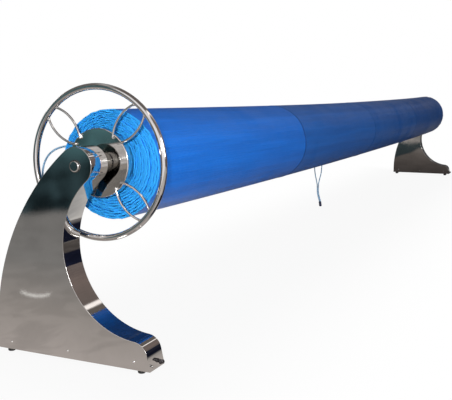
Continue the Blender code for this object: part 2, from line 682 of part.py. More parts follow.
def edge_shift(turn):
    """How far a turn's edge stands out at the roll's ends, which vary along the winding."""
    wander = math.sin(math.tau * turn / RIPPLE_TURNS)
    lobes = math.sin(math.tau * RIPPLE_LOBES * turn) * math.sin(math.tau * turn / RIPPLE_FADE)
    step = TELESCOPE if turn > TELESCOPE_TURN else 0.0
    return RIPPLE * (wander + RIPPLE_LOBE_SHARE * lobes) - step


def cover_stations():
    """Places along the cover where its section is worked out, in order."""
    seams = [COVER_HALF * (2 * k / COVER_PANELS - 1) for k in range(1, COVER_PANELS)]
    cords = [-COVER_HALF + NEAR_CORD_FROM_END] + list(MIDDLE_CORDS_AT)
    extra = [-COVER_HALF * STATION_SHARE, COVER_HALF * STATION_SHARE]
    return sorted(seams + cords + extra)


def add_cover(roller):
    """The wound film as one closed body: a spiral whose turns show on both ends.

    Each end has two rows of points to a turn, the turn's outer edge and the groove before the
    next one. One turn on, a column meets its own start two rows further in, which leaves the
    free outer edge and the first inner edge as steps along the roll.
    """
    work = bmesh.new()
    rows = 2 * (COVER_TURNS - 1) + 1
    pitch = (COVER_NEAR_RADIUS - TUBE_RADIUS) / COVER_TURNS
    groove = GROOVE_WIDTH / pitch

    def end_points(end, outward):
        columns = []
        for column in range(COVER_SIDES + 1):
            points = []
            for row in range(rows):
                if column == COVER_SIDES and row < rows - 2:
                    points.append(columns[0][row + 2])
                    continue
                turn = COVER_TURNS - row // 2 - column / COVER_SIDES
                shift = edge_shift(turn)
                if row % 2:
                    turn += groove - 1
                    shift = edge_shift(turn + 1 - groove) - GROOVE_DEPTH
                place = cover_point(end, turn, LIP_COLUMN + column)
                place.x = end + outward * shift
                points.append(work.verts.new(place))
            columns.append(points)
        return columns

    near = end_points(-COVER_HALF, -1)
    far = end_points(COVER_HALF, 1)
    for end in (near, far):
        for column in range(COVER_SIDES):
            for row in range(rows - 1):
                work.faces.new((end[column][row], end[column + 1][row],
                                end[column + 1][row + 1], end[column][row + 1]))
    skin = [[near[column][0] for column in range(COVER_SIDES + 1)]]
    for x in cover_stations():
        skin.append([work.verts.new(cover_point(x, COVER_TURNS - column / COVER_SIDES,
                                                LIP_COLUMN + column))
                     for column in range(COVER_SIDES + 1)])
    skin.append([far[column][0] for column in range(COVER_SIDES + 1)])
    for here, there in zip(skin, skin[1:]):
        for column in range(COVER_SIDES):
            work.faces.new((here[column], here[column + 1], there[column + 1], there[column]))
    for column in range(COVER_SIDES):
        work.faces.new((near[column][-1], near[column + 1][-1], far[column + 1][-1],
                        far[column][-1]))
    for here, there in zip(skin, skin[1:]):
        lip = [here[0], here[-1], there[-1], there[0]]
        if here is skin[0]:
            lip.insert(1, near[0][1])
        if there is skin[-1]:
            lip.insert(len(lip) - 1, far[0][1])
        work.faces.new(lip)
    work.faces.new((near[0][-1], near[-1][-2], near[-1][-1], far[-1][-1], far[-1][-2], far[0][-1]))
    bmesh.ops.recalc_face_normals(work, faces=work.faces)
    mesh = bpy.data.meshes.new("pool_cover")
    work.to_mesh(mesh)
    work.free()
    add_piece("pool_cover", mesh, COVER_FILM, roller)


# Pull cords
def smooth_route(points, spacing):
    """Evenly spaced points on a smooth curve through the given ones.

    The first and last stretches are kept as they are, so that both ends run straight.
    """
    route = [Vector(p) for p in points]
    fine = []
    for a, b, c, d in zip(route, route[1:], route[2:], route[3:]):
        for step in range(CORD_FINE_STEPS):
            t = step / CORD_FINE_STEPS
            fine.append(0.5 * (2 * b + (c - a) * t + (2 * a - 5 * b + 4 * c - d) * t ** 2
                               + (3 * b - a - 3 * c + d) * t ** 3))
    fine.append(route[-2])
    lengths = [0.0]
    for a, b in zip(fine, fine[1:]):
        lengths.append(lengths[-1] + (b - a).length)
    wanted = np.linspace(0, lengths[-1], max(2, round(lengths[-1] / spacing)) + 1)
    even = [Vector([np.interp(w, lengths, [p[k] for p in fine]) for k in range(3)])
            for w in wanted]
    return [route[0]] + even + [route[-1]]


def cord_exit(x):
    """Where a cord leaves the cover, just above its free edge, and the way it points."""
    low = cover_point(x, COVER_TURNS, LIP_COLUMN)
    high = cover_point(x, COVER_TURNS - 1 / COVER_SIDES, LIP_COLUMN + 1)
    along = high - low
    outward = Vector((0, along.z, -along.y)).normalized()
    return (low + high) / 2 + outward * CLEARANCE, outward


def add_cord(name, x, route, end_way, roller):
    """A cord from the cover through hand-chosen points, given as (X, Y, height) from the axis."""
    start, outward = cord_exit(x)
    end = Vector(route[-1]) + end_way * 2 * CORD_RADIUS
    points = [start, start + outward * 2 * CORD_RADIUS] + route + [end]
    tube_along(name, smooth_route(points, CORD_SPACING), CORD_RADIUS, 2, ROPE, roller)
    return end


NEAR_END_WAY = Vector((0, -0.06, -1)).normalized()
MIDDLE_END_WAY = Vector((0.07, -0.13, -1)).normalized()
NEAR_ROUTE_X = -COVER_HALF + NEAR_CORD_FROM_END
NEAR_ROUTE = [(NEAR_ROUTE_X, 0.234, 0.050), (NEAR_ROUTE_X, 0.262, 0.044),
              (NEAR_ROUTE_X, 0.290, 0.033), (NEAR_ROUTE_X, 0.317, 0.014),
              (NEAR_ROUTE_X, 0.337, -0.012), (NEAR_ROUTE_X, 0.349, -0.042),
              (NEAR_ROUTE_X, 0.354, -0.076), (NEAR_ROUTE_X, 0.355, -0.110),
              (NEAR_ROUTE_X, 0.354, -0.144), (NEAR_ROUTE_X, 0.352, -0.178)]
LEFT_ROUTE = [(-0.105, 0.231, 0.034), (-0.105, 0.246, 0.025), (-0.105, 0.256, 0.008),
              (-0.105, 0.261, -0.016), (-0.105, 0.262, -0.060), (-0.104, 0.261, -0.120),
              (-0.103, 0.260, -0.180), (-0.101, 0.260, -0.240), (-0.099, 0.259, -0.295),
              (-0.096, 0.259, -0.345), (-0.078, 0.259, -0.399), (-0.050, 0.258, -0.446),
              (-0.026, 0.258, -0.484), (-0.016, 0.259, -0.515), (-0.014, 0.259, -0.545),
              (-0.012, 0.256, -0.575), (-0.009, 0.250, -0.602), (-0.006, 0.243, -0.628)]
RIGHT_ROUTE = [(0.040, 0.231, 0.034), (0.040, 0.245, 0.025), (0.040, 0.254, 0.008),
               (0.040, 0.257, -0.016), (0.040, 0.256, -0.060), (0.040, 0.252, -0.120),
               (0.040, 0.248, -0.180), (0.039, 0.243, -0.240), (0.037, 0.240, -0.295),
               (0.034, 0.238, -0.345), (0.024, 0.240, -0.399), (0.006, 0.246, -0.446),
               (-0.008, 0.250, -0.484), (-0.011, 0.251, -0.515), (-0.010, 0.251, -0.545),
               (-0.008, 0.248, -0.575), (-0.005, 0.242, -0.602), (-0.002, 0.235, -0.628)]


def add_ferrule(name, ends, along, radius, roller):
    """A sleeve crimped on the cord ends, which stop a clearance short of it."""
    place = sum(ends, Vector()) / len(ends)
    reach = max((end - place).dot(along) for end in ends)
    start = place + along * (reach + CLEARANCE)
    profile = [(FERRULE_LENGTH, 0.0), (FERRULE_LENGTH, radius - FERRULE_EDGE),
               (FERRULE_LENGTH - FERRULE_EDGE, radius), (0.0, radius), (0.0, 0.0)]
    turned(name, profile, SCREW_SIDES, ROPE_END, roller, start, along)


def add_cords(roller):
    near_end = add_cord("cord_near_end", NEAR_ROUTE_X, NEAR_ROUTE, NEAR_END_WAY, roller)
    left, right = (add_cord("cord_middle_" + side, x, route, MIDDLE_END_WAY, roller)
                   for side, x, route in zip(("left", "right"), MIDDLE_CORDS_AT,
                                             (LEFT_ROUTE, RIGHT_ROUTE)))
    add_ferrule("ferrule_near", [near_end], NEAR_END_WAY, CORD_RADIUS + FERRULE_WALL / 2, roller)
    add_ferrule("ferrule_middle", [left, right], MIDDLE_END_WAY,
                2 * CORD_RADIUS + FERRULE_WALL, roller)


# The reel
add_leg("near", -LEG_OUTER, ("outer", "inner"))
far_leg = add_leg("far", LEG_INNER, ("inner", "outer"))
roller_axis = frame_empty("roller_axis", (0, AXIS_Y, AXIS_HEIGHT))
add_axle_group(roller_axis)
add_handwheel(roller_axis)
add_tubes(roller_axis)
add_drive(roller_axis, far_leg)
add_cover(roller_axis)
add_cords(roller_axis)
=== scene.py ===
# Looks of a pool cover reel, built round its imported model.
# Metres, in the model's frame: +X runs along the roller from the handwheel end, +Z is up,
# and -Y is the side of the legs' toes.

import json
import math

import bmesh
import bpy
import numpy as np
from mathutils import Matrix, Vector


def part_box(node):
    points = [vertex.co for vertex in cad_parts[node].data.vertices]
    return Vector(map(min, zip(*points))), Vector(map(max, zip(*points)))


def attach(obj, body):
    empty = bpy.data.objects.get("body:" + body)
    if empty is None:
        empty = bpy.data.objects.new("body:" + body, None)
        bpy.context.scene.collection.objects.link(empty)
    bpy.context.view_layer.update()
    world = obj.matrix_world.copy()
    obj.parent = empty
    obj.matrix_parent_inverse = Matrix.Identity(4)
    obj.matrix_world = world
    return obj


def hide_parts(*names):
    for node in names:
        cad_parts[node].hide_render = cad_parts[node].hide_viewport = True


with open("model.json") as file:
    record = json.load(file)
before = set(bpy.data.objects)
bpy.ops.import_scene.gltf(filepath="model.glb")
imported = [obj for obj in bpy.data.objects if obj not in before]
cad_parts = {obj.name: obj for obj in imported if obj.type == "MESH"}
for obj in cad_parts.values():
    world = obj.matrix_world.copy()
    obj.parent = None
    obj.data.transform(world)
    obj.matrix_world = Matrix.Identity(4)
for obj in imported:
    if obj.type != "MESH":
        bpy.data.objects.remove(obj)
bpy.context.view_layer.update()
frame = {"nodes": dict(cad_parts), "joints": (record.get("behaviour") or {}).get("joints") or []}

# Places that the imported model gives
AXIS = np.array(frame["joints"][0]["pos_m"])
NEAR_LEG, FAR_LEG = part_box("near_leg_shell"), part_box("far_leg_shell")
LEG_THICKNESS = NEAR_LEG[1].x - NEAR_LEG[0].x
RIM_BOX, DISC_BOX, COLLAR_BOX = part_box("handwheel_rim"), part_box("hub_disc"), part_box("axle_collar")
AXLE_BOX, HEAD_BOX, CROWN_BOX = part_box("axle"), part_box("drive_head"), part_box("idler_crown")
NEAR_TUBE_BOX, FAR_TUBE_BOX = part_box("near_tube"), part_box("far_tube")

# Camera
CAMERA_PLACE = (-6.0114, -1.6643, 1.0175)
CAMERA_LENS = 59.573
CAMERA_SENSOR = 36.0
CAMERA_YAW = 0.42708            # from +X towards +Y
CAMERA_PITCH = 0.14046          # below the horizon
CAMERA_ROLL = -0.00164

# Leg outline
UNDERSIDE = 0.020
HUB_RADIUS = 0.0715
HEEL_REACH = 0.392
TOE_REACH = 0.302
TOE_HEIGHT = 0.105
FRONT_SWEEP = 0.331
BACK_SWEEP = 0.945
TOE_ROUND = 0.058
TOE_LEAN = math.radians(12)
LEG_SHEET = 0.0025
LEG_EDGE = 0.0016
EDGE_STRIP = 0.0004             # narrow strips that keep the flats' shading flat
HUB_HOLE = 0.0192
FACE_SPLIT = 0.28               # where the line under the hub reaches the base
LEG_STEPS = {"back": 70, "hub": 24, "front": 70, "toe": 18, "edge": 5, "hole": 24}

# Fittings on the legs
FACE_SCREWS = (-0.233, 0.059, 0.325)
FACE_SCREW_HEIGHT = 0.050
TOE_FITTING_RISE = 0.015
TOE_SCREW_INSET = 0.022
GLAND_INSET = 0.079
FOOT_FROM_TOE = 0.055
FOOT_FROM_HEEL = 0.035
FOOT_FROM_FACE = 0.034
SEAT_GAP = 0.0003

# Wheel
WHEEL_TUBE = (RIM_BOX[1].x - RIM_BOX[0].x) / 2
WHEEL_RADIUS = (RIM_BOX[1].z - RIM_BOX[0].z) / 2 - WHEEL_TUBE
WHEEL_PLANE = (RIM_BOX[0].x + RIM_BOX[1].x) / 2
WHEEL_TURN = math.radians(-2.2)
SPOKE_RADIUS = 0.0045
SPOKE_PAIRS = 4
SPOKE_START = 0.1175
SPOKE_START_HALF_WIDTH = 0.0135
SPOKE_END_HALF_WIDTH = 0.0285
SPOKE_BOW = 0.0235
SPOKE_TIP = 0.7                 # of its radius, at the disc
SPOKE_SINK = 0.9                # of the rim's tube, from its middle
WHEEL_STEPS = {"round": 192, "section": 24, "spoke": 49}
WELD_FLARE = 0.0009             # how much a weld thickens a spoke's end
WELD_REACH = 0.0045

# Hub, tubes and drive
AXLE_LINE = (0.0, AXIS[1], AXIS[2])
AXLE_RADIUS = 0.0150
AXLE_BORE = 0.0154              # of what the axle passes through
CAP = {"depth": 0.0034, "bevel": 0.0024, "radius": 0.0205, "face": 0.0172}
COLLAR_RADIUS = 0.0390
DISC_RADIUS = 0.1335
DISC_SHEET = 0.0030
TUBE_RADIUS, TUBE_BORE = 0.055, 0.052
CROWN_NECK, CROWN_BORE = 0.0517, 0.0306
HEAD_TO_LEG = 0.0036
HUB_ROUND = {"axle": 0.0008, "collar": 0.0022, "disc": 0.0035, "tube": 0.0006, "head": 0.0018,
             "crown": 0.0008}

# Wound cover
COVER_HALF = 3.5379
COVER_NEAR_RADIUS = 0.2218
COVER_FAR_RADIUS = 0.2285
COVER_BORE = 0.0556
COVER_TURNS = 18
FIRST_TURN = 0.6
HANG_NEAR, HANG_MIDDLE, HANG_FAR = 0.0165, 0.034, 0.0
LIP_ANGLE = math.radians(11.25)
FILM = 0.0080                   # bubbled film, with its bubbles
COLUMN_SPACING = 0.0108
TELESCOPE, TELESCOPE_TURN, TELESCOPE_SPAN = 0.0050, 13.5, 0.25
EDGE_WANDER, WANDER_TURNS = 0.0022, 3.0
RUFFLE_DEPTH = 0.00112          # radial ruffles at the film's edges
RUFFLE_REACH = 0.030
EDGE_NICKS = 0.00144            # how far the edges wave in and out
CREASE = 0.0011                 # long creases in the outer turns
CREASE_REACH = 0.2              # over which they grow from the film's edges
FAR_FROM_EDGE = 1.0
CAD_COLUMNS = 32                # of the model's winding, in one turn
SEAMS = (-COVER_HALF / 2, 0.0, COVER_HALF / 2)
SEAM_HALF_WIDTH = 0.011
SEAM_PROFILE = [(-1.0, -0.0008), (-0.94, 0.0005), (-0.75, 0.0010), (0.75, 0.0010), (0.94, 0.0005),
                (1.0, -0.0008)]  # share of its half width, height over the film
SEAM_TURNS = (0.995, 0.001)     # before the film's end
PANEL_TINTS = ((0.85, 1.12, 1.14), (0.9, 0.88, 0.84), (0.9, 0.86, 0.82), (0.8, 0.78, 0.76))

# Pull cords, at the same places as in the model
CORD_DIAMETER = 0.008
CORD_SPACING = 0.004
NEAR_CORD_LENGTH = 0.325
MIDDLE_CORD_LENGTH = 0.71
FERRULE_LENGTH = 0.040
NEAR_END_WAY = np.array([0, -0.06, -1.0]) / np.linalg.norm([0, -0.06, -1.0])
MIDDLE_END_WAY = np.array([0.07, -0.13, -1.0]) / np.linalg.norm([0.07, -0.13, -1.0])
NEAR_ROUTE_X = -COVER_HALF + 0.033
NEAR_ROUTE = [(NEAR_ROUTE_X, 0.234, 0.050), (NEAR_ROUTE_X, 0.262, 0.044),
              (NEAR_ROUTE_X, 0.290, 0.033), (NEAR_ROUTE_X, 0.317, 0.014),
              (NEAR_ROUTE_X, 0.337, -0.012), (NEAR_ROUTE_X, 0.349, -0.042),
              (NEAR_ROUTE_X, 0.354, -0.076), (NEAR_ROUTE_X, 0.355, -0.110),
              (NEAR_ROUTE_X, 0.354, -0.144), (NEAR_ROUTE_X, 0.352, -0.178)]
LEFT_ROUTE = [(-0.105, 0.231, 0.034), (-0.105, 0.246, 0.025), (-0.105, 0.256, 0.008),
              (-0.105, 0.261, -0.016), (-0.105, 0.262, -0.060), (-0.104, 0.261, -0.120),
              (-0.103, 0.260, -0.180), (-0.101, 0.260, -0.240), (-0.099, 0.259, -0.295),
              (-0.096, 0.259, -0.345), (-0.078, 0.259, -0.399), (-0.050, 0.258, -0.446),
              (-0.026, 0.258, -0.484), (-0.016, 0.259, -0.515), (-0.014, 0.259, -0.545),
              (-0.012, 0.256, -0.575), (-0.009, 0.250, -0.602), (-0.006, 0.243, -0.628)]
RIGHT_ROUTE = [(0.040, 0.231, 0.034), (0.040, 0.245, 0.025), (0.040, 0.254, 0.008),
               (0.040, 0.257, -0.016), (0.040, 0.256, -0.060), (0.040, 0.252, -0.120),
               (0.040, 0.248, -0.180), (0.039, 0.243, -0.240), (0.037, 0.240, -0.295),
               (0.034, 0.238, -0.345), (0.024, 0.240, -0.399), (0.006, 0.246, -0.446),
               (-0.008, 0.250, -0.484), (-0.011, 0.251, -0.515), (-0.010, 0.251, -0.545),
               (-0.008, 0.248, -0.575), (-0.005, 0.242, -0.602), (-0.002, 0.235, -0.628)]
CORDS = {                       # route, way of its end, length and the model's node
    "near": (NEAR_ROUTE, NEAR_END_WAY, NEAR_CORD_LENGTH, "cord_near_end"),
    "left": (LEFT_ROUTE, MIDDLE_END_WAY, MIDDLE_CORD_LENGTH, "cord_middle_left"),
    "right": (RIGHT_ROUTE, MIDDLE_END_WAY, MIDDLE_CORD_LENGTH, "cord_middle_right"),
}
NEAR_SLEEVE_RADIUS = 0.0055
MIDDLE_SLEEVE_RADIUS = 0.0110
SLEEVE = {"tip": 0.0012, "mouth": 0.96, "waist": 0.90, "waist_span": (0.30, 0.45, 0.60),
          "round": 0.002}
EYELET_PROFILE = [(0.0002, 0.0044), (0.0034, 0.0048), (0.0038, 0.0085), (0.0012, 0.0115),
                  (0.0, 0.0112), (0.0002, 0.0044)]
EYELET_ROUND = 0.0006
PATCH_HALF_WIDTH = 0.021
PATCH_TURNS = (0.004, 0.030)    # before the film's end
PATCH_LIFT = 0.0010
PATCH_SHEET = 0.0008

# Light: each lamp's place, aim, size and power. The end light draws the spokes' shadows.
SKY_LEVEL = 0.20
LAMPS = {
    "key_light": ((-4.6, -6.0, 2.4), (-5.2, 0.0, 0.7), 2.4, 210.0),
    "end_light": ((-6.15, -1.50, 1.22), (-3.5, 0.0, 0.75), 0.10, 54.0),
    "back_light": ((0.0, 7.0, 4.5), (0.0, 0.0, 0.7), 4.0, 90.0),
    "fill_light": ((-1.5, -5.5, 5.0), (0.0, 0.0, 0.7), 4.0, 30.0),
}
FLOOR_REACH = 60.0
FLOOR_COLOUR = (0.36, 0.355, 0.35)
FLOOR_ROUGHNESS = 0.9
SHADED_HALF_LENGTH = 3.5        # of the floor under the reel
SHADED_WHITE = 0.93             # what the camera sees there
SHADE_FADE = (0.2, 1.2)         # distances over which it turns to white


# Meshes
def grid_faces(index, ring, loop):
    """Four-cornered faces between neighbours of a grid of point numbers."""
    if loop:
        index = np.vstack([index, index[:1]])
    if ring:
        index = np.hstack([index, index[:, :1]])
    corners = (index[:-1, :-1], index[:-1, 1:], index[1:, 1:], index[1:, :-1])
    return np.stack(corners, axis=-1).reshape(-1, 4)


def grid_mesh(name, points, ring=True, loop=False, uv=None, caps=False):
    """A mesh over a grid of points (rows, columns, 3).

    A ring closes the columns and a loop closes the rows. The map holds one more row or column
    where the grid is closed, so that a pattern doesn't run back across the seam. Caps close
    the first and last column of a looped grid.
    """
    rows, columns = points.shape[:2]
    index = np.arange(rows * columns).reshape(rows, columns)
    faces = grid_faces(index, ring, loop)
    flat = faces.ravel()
    starts = np.arange(0, flat.size, 4)
    if caps:
        flat = np.concatenate([flat, index[:, 0], index[::-1, -1]])
        starts = np.concatenate([starts, [faces.size, faces.size + rows]])
    mesh = bpy.data.meshes.new(name)
    mesh.vertices.add(rows * columns)
    mesh.vertices.foreach_set("co", points.reshape(-1).astype(np.float32))
    mesh.loops.add(flat.size)
    mesh.loops.foreach_set("vertex_index", flat.astype(np.int32))
    mesh.polygons.add(len(starts))
    mesh.polygons.foreach_set("loop_start", starts.astype(np.int32))
    mesh.update(calc_edges=True)
    if uv is not None:
        corner = grid_faces(np.arange(uv.shape[0] * uv.shape[1]).reshape(uv.shape[:2]), False, False)
        places = np.zeros((flat.size, 2), np.float32)
        places[:faces.size] = uv.reshape(-1, 2)[corner.ravel()]
        mesh.uv_layers.new(name="UVMap").data.foreach_set("uv", places.ravel())
    return closed_up(mesh)


def closed_up(mesh, weld=1e-6):
    """Merge poles and seams, turn every face outwards and shade it smooth."""
    work = bmesh.new()
    work.from_mesh(mesh)
    bmesh.ops.remove_doubles(work, verts=work.verts, dist=weld)
    bmesh.ops.recalc_face_normals(work, faces=work.faces)
    work.to_mesh(mesh)
    work.free()
    mesh.shade_smooth()
    return mesh


def added(name, data):
    """A new object in the scene, with its mesh, lamp or camera."""
    thing = bpy.data.objects.new(name, data)
    bpy.context.scene.collection.objects.link(thing)
    return thing


def show(mesh, material, body, *nodes):
    """Put a finished mesh on its body, in place of the model's plain nodes."""
    piece = added(mesh.name, mesh)
    mesh.materials.append(material)
    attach(piece, body)
    if nodes:
        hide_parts(*nodes)
    return piece


def rounded(corners, radius, steps=5):
    """A profile whose corners, apart from its two ends, are drawn as short curves.

    Each curve starts and ends a radius from its corner, or less than half a side from it, with
    a narrow strip beside it that keeps the flats' shading flat.
    """
    p = np.array(corners, float)
    here = p[1:-1]
    cuts, strips = [], []
    for side in (p[:-2] - here, p[2:] - here):
        length = np.linalg.norm(side, axis=1, keepdims=True)
        cuts.append(here + side / length * np.minimum(radius, 0.45 * length))
        strips.append(cuts[-1] + side / length * np.minimum(EDGE_STRIP, 0.04 * length))
    start, before, end, after = (ends[:, None] for ends in (cuts[0], strips[0], cuts[1], strips[1]))
    t = np.linspace(0, 1, steps + 1)[None, :, None]
    curves = (1 - t) ** 2 * start + 2 * t * (1 - t) * here[:, None] + t ** 2 * end
    curves = np.concatenate([before, curves, after], axis=1)
    return np.vstack([p[:1], curves.reshape(-1, 2), p[-1:]])


def x_ends(box):
    """Where a box starts and ends along X."""
    return box[0].x, box[1].x


def ring_profile(start, end, inner, outer, radius):
    """Section of a ring with rounded corners, from the middle of its bore round to there."""
    middle = (start + end) / 2
    return rounded([(middle, inner), (end, inner), (end, outer), (start, outer), (start, inner),
                    (middle, inner)], radius)


def round_angles(count, start=0.0):
    """So many angles, spread evenly round a circle."""
    return np.linspace(start, start + math.tau, count, endpoint=False)


def side_ways(axis):
    """Two directions square to an axis and to each other."""
    axis = np.array(axis, float) / np.linalg.norm(axis)
    helper = np.array([0.0, 0.0, 1.0]) if abs(axis[2]) < 0.9 else np.array([0.0, 1.0, 0.0])
    side = np.cross(helper, axis)
    side /= np.linalg.norm(side)
    return axis, side, np.cross(axis, side)


def turned(name, profile, place, axis, segments=64, ribs=0, rib_depth=0.0, rib_span=(0, 0)):
    """Carry each profile point (distance along the axis, radius) round the axis.

    Ribs add a rounded wave to the radius between two distances along the axis.
    """
    axis, side, up = side_ways(axis)
    along, radius = np.array(profile, float).T
    angle = round_angles(segments)
    wave = rib_depth * np.abs(np.cos(ribs * angle / 2))[None, :]
    ribbed = ((along > rib_span[0]) & (along < rib_span[1]))[:, None]
    radius = radius[:, None] - np.where(ribbed, wave, 0.0)
    out = np.cos(angle)[:, None] * side + np.sin(angle)[:, None] * up
    points = np.array(place) + along[:, None, None] * axis + radius[:, :, None] * out[None]
    return grid_mesh(name, points)


def path_ways(path, reference):
    """Directions along a path and square to it, the first square one leaning to a reference."""
    along = np.gradient(path, axis=0)
    along /= np.linalg.norm(along, axis=1, keepdims=True)
    side = reference - (along @ reference)[:, None] * along
    side /= np.linalg.norm(side, axis=1, keepdims=True)
    return along, side, np.cross(along, side)


def path_lengths(path):
    """Distance along a path at each of its points."""
    steps = np.linalg.norm(np.diff(path, axis=0), axis=1)
    return np.concatenate([[0.0], np.cumsum(steps)])


def tube(name, path, radius, sides=20, reference=(1.0, 0.0, 0.0)):
    """Carry a circle along a path. Its map runs round the tube and, in metres, along it."""
    along, side, up = path_ways(path, np.array(reference))
    radius = np.broadcast_to(radius, len(path))[:, None, None]
    angle = round_angles(sides)[None, :, None]
    points = path[:, None] + radius * (np.cos(angle) * side[:, None] + np.sin(angle) * up[:, None])
    first = np.repeat(path[None, :1], sides, axis=1)
    last = np.repeat(path[None, -1:], sides, axis=1)
    points = np.concatenate([first, points, last])
    lengths = path_lengths(path)
    lengths = np.concatenate([lengths[:1], lengths, lengths[-1:]])
    uv = np.stack(np.broadcast_arrays(np.linspace(0, 1, sides + 1)[None], lengths[:, None]), axis=-1)
    return grid_mesh(name, points, uv=uv)


# Nodes
def node(tree, kind, settings=None, inputs=None):
    """Add a node, set it and join its inputs: a socket is linked, and a value is typed in."""
    made = tree.nodes.new(kind)
    for key, value in (settings or {}).items():
        setattr(made, key, value)
    for key, value in (inputs or {}).items():
        if isinstance(value, bpy.types.NodeSocket):
            tree.links.new(value, made.inputs[key])
        else:
            made.inputs[key].default_value = value
    return made


def calc(tree, operation, *values):
    """One step of arithmetic on sockets and numbers."""
    return node(tree, "ShaderNodeMath", {"operation": operation}, dict(enumerate(values))).outputs[0]


def value_range(tree, value, low, high, start=0.0, end=1.0, curve="LINEAR"):
    """A value's start to end as low to high, and held between them."""
    return node(tree, "ShaderNodeMapRange", {"interpolation_type": curve}, {
        "Value": value, "From Min": start, "From Max": end, "To Min": low, "To Max": high}).outputs[0]


def noise(tree, place, scale, detail, roughness=0.5, distortion=0.0):
    """Soft random patches, from 0 to 1."""
    return node(tree, "ShaderNodeTexNoise", None, {
        "Vector": place, "Scale": scale, "Detail": detail, "Roughness": roughness,
        "Distortion": distortion}).outputs["Fac"]


def bumped(tree, height, distance, normal=None):
    """A normal raised by a height, on top of another one where it is given."""
    inputs = {"Height": height, "Distance": distance, "Strength": 1.0}
    if normal is not None:
        inputs["Normal"] = normal
    return node(tree, "ShaderNodeBump", None, inputs).outputs["Normal"]


def two_colours(tree, mask, plain, marked, blend="MIX"):
    """Two colours, each a socket or three numbers, mixed where the mask rises."""
    plain, marked = (colour if isinstance(colour, bpy.types.NodeSocket) else (*colour, 1.0)
                     for colour in (plain, marked))
    return node(tree, "ShaderNodeMix", {"data_type": "RGBA", "blend_type": blend}, {
        0: mask, 6: plain, 7: marked}).outputs[2]


def colour_stops(tree, share, stops, blend="LINEAR"):
    """A colour that follows a share from 0 to 1 through stops, given as (share, colour)."""
    ramp = node(tree, "ShaderNodeValToRGB", None, {"Fac": share})
    ramp.color_ramp.interpolation = blend
    elements = ramp.color_ramp.elements
    while len(elements) < len(stops):
        elements.new(0.5)
    for element, (at, _) in zip(elements, stops):
        element.position = at
    for element, (_, colour) in zip(elements, stops):
        element.color = (*colour, 1.0)
    return ramp.outputs["Color"]


# Effects that several finishes share
def new_group(name, inputs, output, kind="NodeSocketFloat"):
    """An empty node group: a vector and the named values come in, and one value goes out."""
    tree = bpy.data.node_groups.new(name, "ShaderNodeTree")
    tree.interface.new_socket(name="Vector", in_out="INPUT", socket_type="NodeSocketVector")
    for socket, default in inputs.items():
        socket_type = "NodeSocketVector" if isinstance(default, tuple) else "NodeSocketFloat"
        made = tree.interface.new_socket(name=socket, in_out="INPUT", socket_type=socket_type)
        made.default_value = default
    tree.interface.new_socket(name=output, in_out="OUTPUT", socket_type=kind)
    given, out = tree.nodes.new("NodeGroupInput"), tree.nodes.new("NodeGroupOutput")
    return tree, given.outputs, out.inputs[output]


def make_handling_marks():
    """Soft patches and small flecks, as wiping and handling leave on a bright surface."""
    tree, given, out = new_group("handling_marks", {"Scale": 6.0, "Flecks": 0.3}, "Mask")
    patches = noise(tree, given["Vector"], given["Scale"], 4.0, 0.6, 0.4)
    soft = value_range(tree, patches, 0.0, 1.0, 0.45, 0.75)
    specks = noise(tree, given["Vector"], calc(tree, "MULTIPLY", given["Scale"], 40.0), 2.0)
    sharp = value_range(tree, specks, 0.0, 1.0, 0.66, 0.78)
    small = calc(tree, "MULTIPLY", sharp, given["Flecks"])
    tree.links.new(calc(tree, "MAXIMUM", soft, small), out)
    return tree


def make_grain():
    """Fine lines, noise stretched along one direction by the vector that comes in."""
    tree, given, out = new_group("fine_grain", {"Stretch": (1.0, 1.0, 1.0), "Scale": 100.0}, "Height")
    drawn = node(tree, "ShaderNodeVectorMath", {"operation": "MULTIPLY"}, {
        0: given["Vector"], 1: given["Stretch"]})
    tree.links.new(noise(tree, drawn.outputs[0], given["Scale"], 6.0, 0.65), out)
    return tree


def make_sheet_waves():
    """The slow dips and rises that rolled and welded sheet keeps, as a normal."""
    tree, given, out = new_group("sheet_waves", {"Scale": 3.0, "Depth": 0.002}, "Normal",
                                 "NodeSocketVector")
    dips = noise(tree, given["Vector"], given["Scale"], 1.0, 0.4)
    tree.links.new(bumped(tree, dips, given["Depth"]), out)
    return tree


def make_bubbles():
    """Rows of round bubbles on a map in metres: a dome in each cell of a staggered grid."""
    tree, given, out = new_group("film_bubbles", {"Pitch": 0.012}, "Height")
    cells = node(tree, "ShaderNodeTexVoronoi", {"voronoi_dimensions": "2D"}, {
        "Vector": given["Vector"], "Scale": calc(tree, "DIVIDE", 1.0, given["Pitch"]),
        "Randomness": 0.12})
    dome = value_range(tree, cells.outputs["Distance"], 0.0, 1.0, 0.5, 0.2, "SMOOTHSTEP")
    tree.links.new(dome, out)
    return tree


def make_strands():
    """A braid on a map that runs round a cord and along it: two crossing sets of strands."""
    tree, given, out = new_group("braided_strands", {"Around": 8.0, "Pitch": 0.006}, "Height")
    parts = node(tree, "ShaderNodeSeparateXYZ", None, {"Vector": given["Vector"]}).outputs
    around = calc(tree, "MULTIPLY", parts["X"], given["Around"])
    along = calc(tree, "DIVIDE", parts["Y"], given["Pitch"])
    waves = []
    for operation in ("ADD", "SUBTRACT"):
        turn = calc(tree, "MULTIPLY", calc(tree, operation, around, along), math.pi)
        waves.append(calc(tree, "ABSOLUTE", calc(tree, "SINE", turn)))
    tree.links.new(calc(tree, "MAXIMUM", *waves), out)
    return tree


HANDLING_MARKS = make_handling_marks()
FINE_GRAIN = make_grain()
SHEET_WAVES = make_sheet_waves()
FILM_BUBBLES = make_bubbles()
BRAIDED_STRANDS = make_strands()


# Finishes
def placed(tree, group, place, **values):
    """What a group gives in a material, with the material's own place and values."""
    inputs = {"Vector": place, **values}
    return node(tree, "ShaderNodeGroup", {"node_tree": group}, inputs).outputs[0]


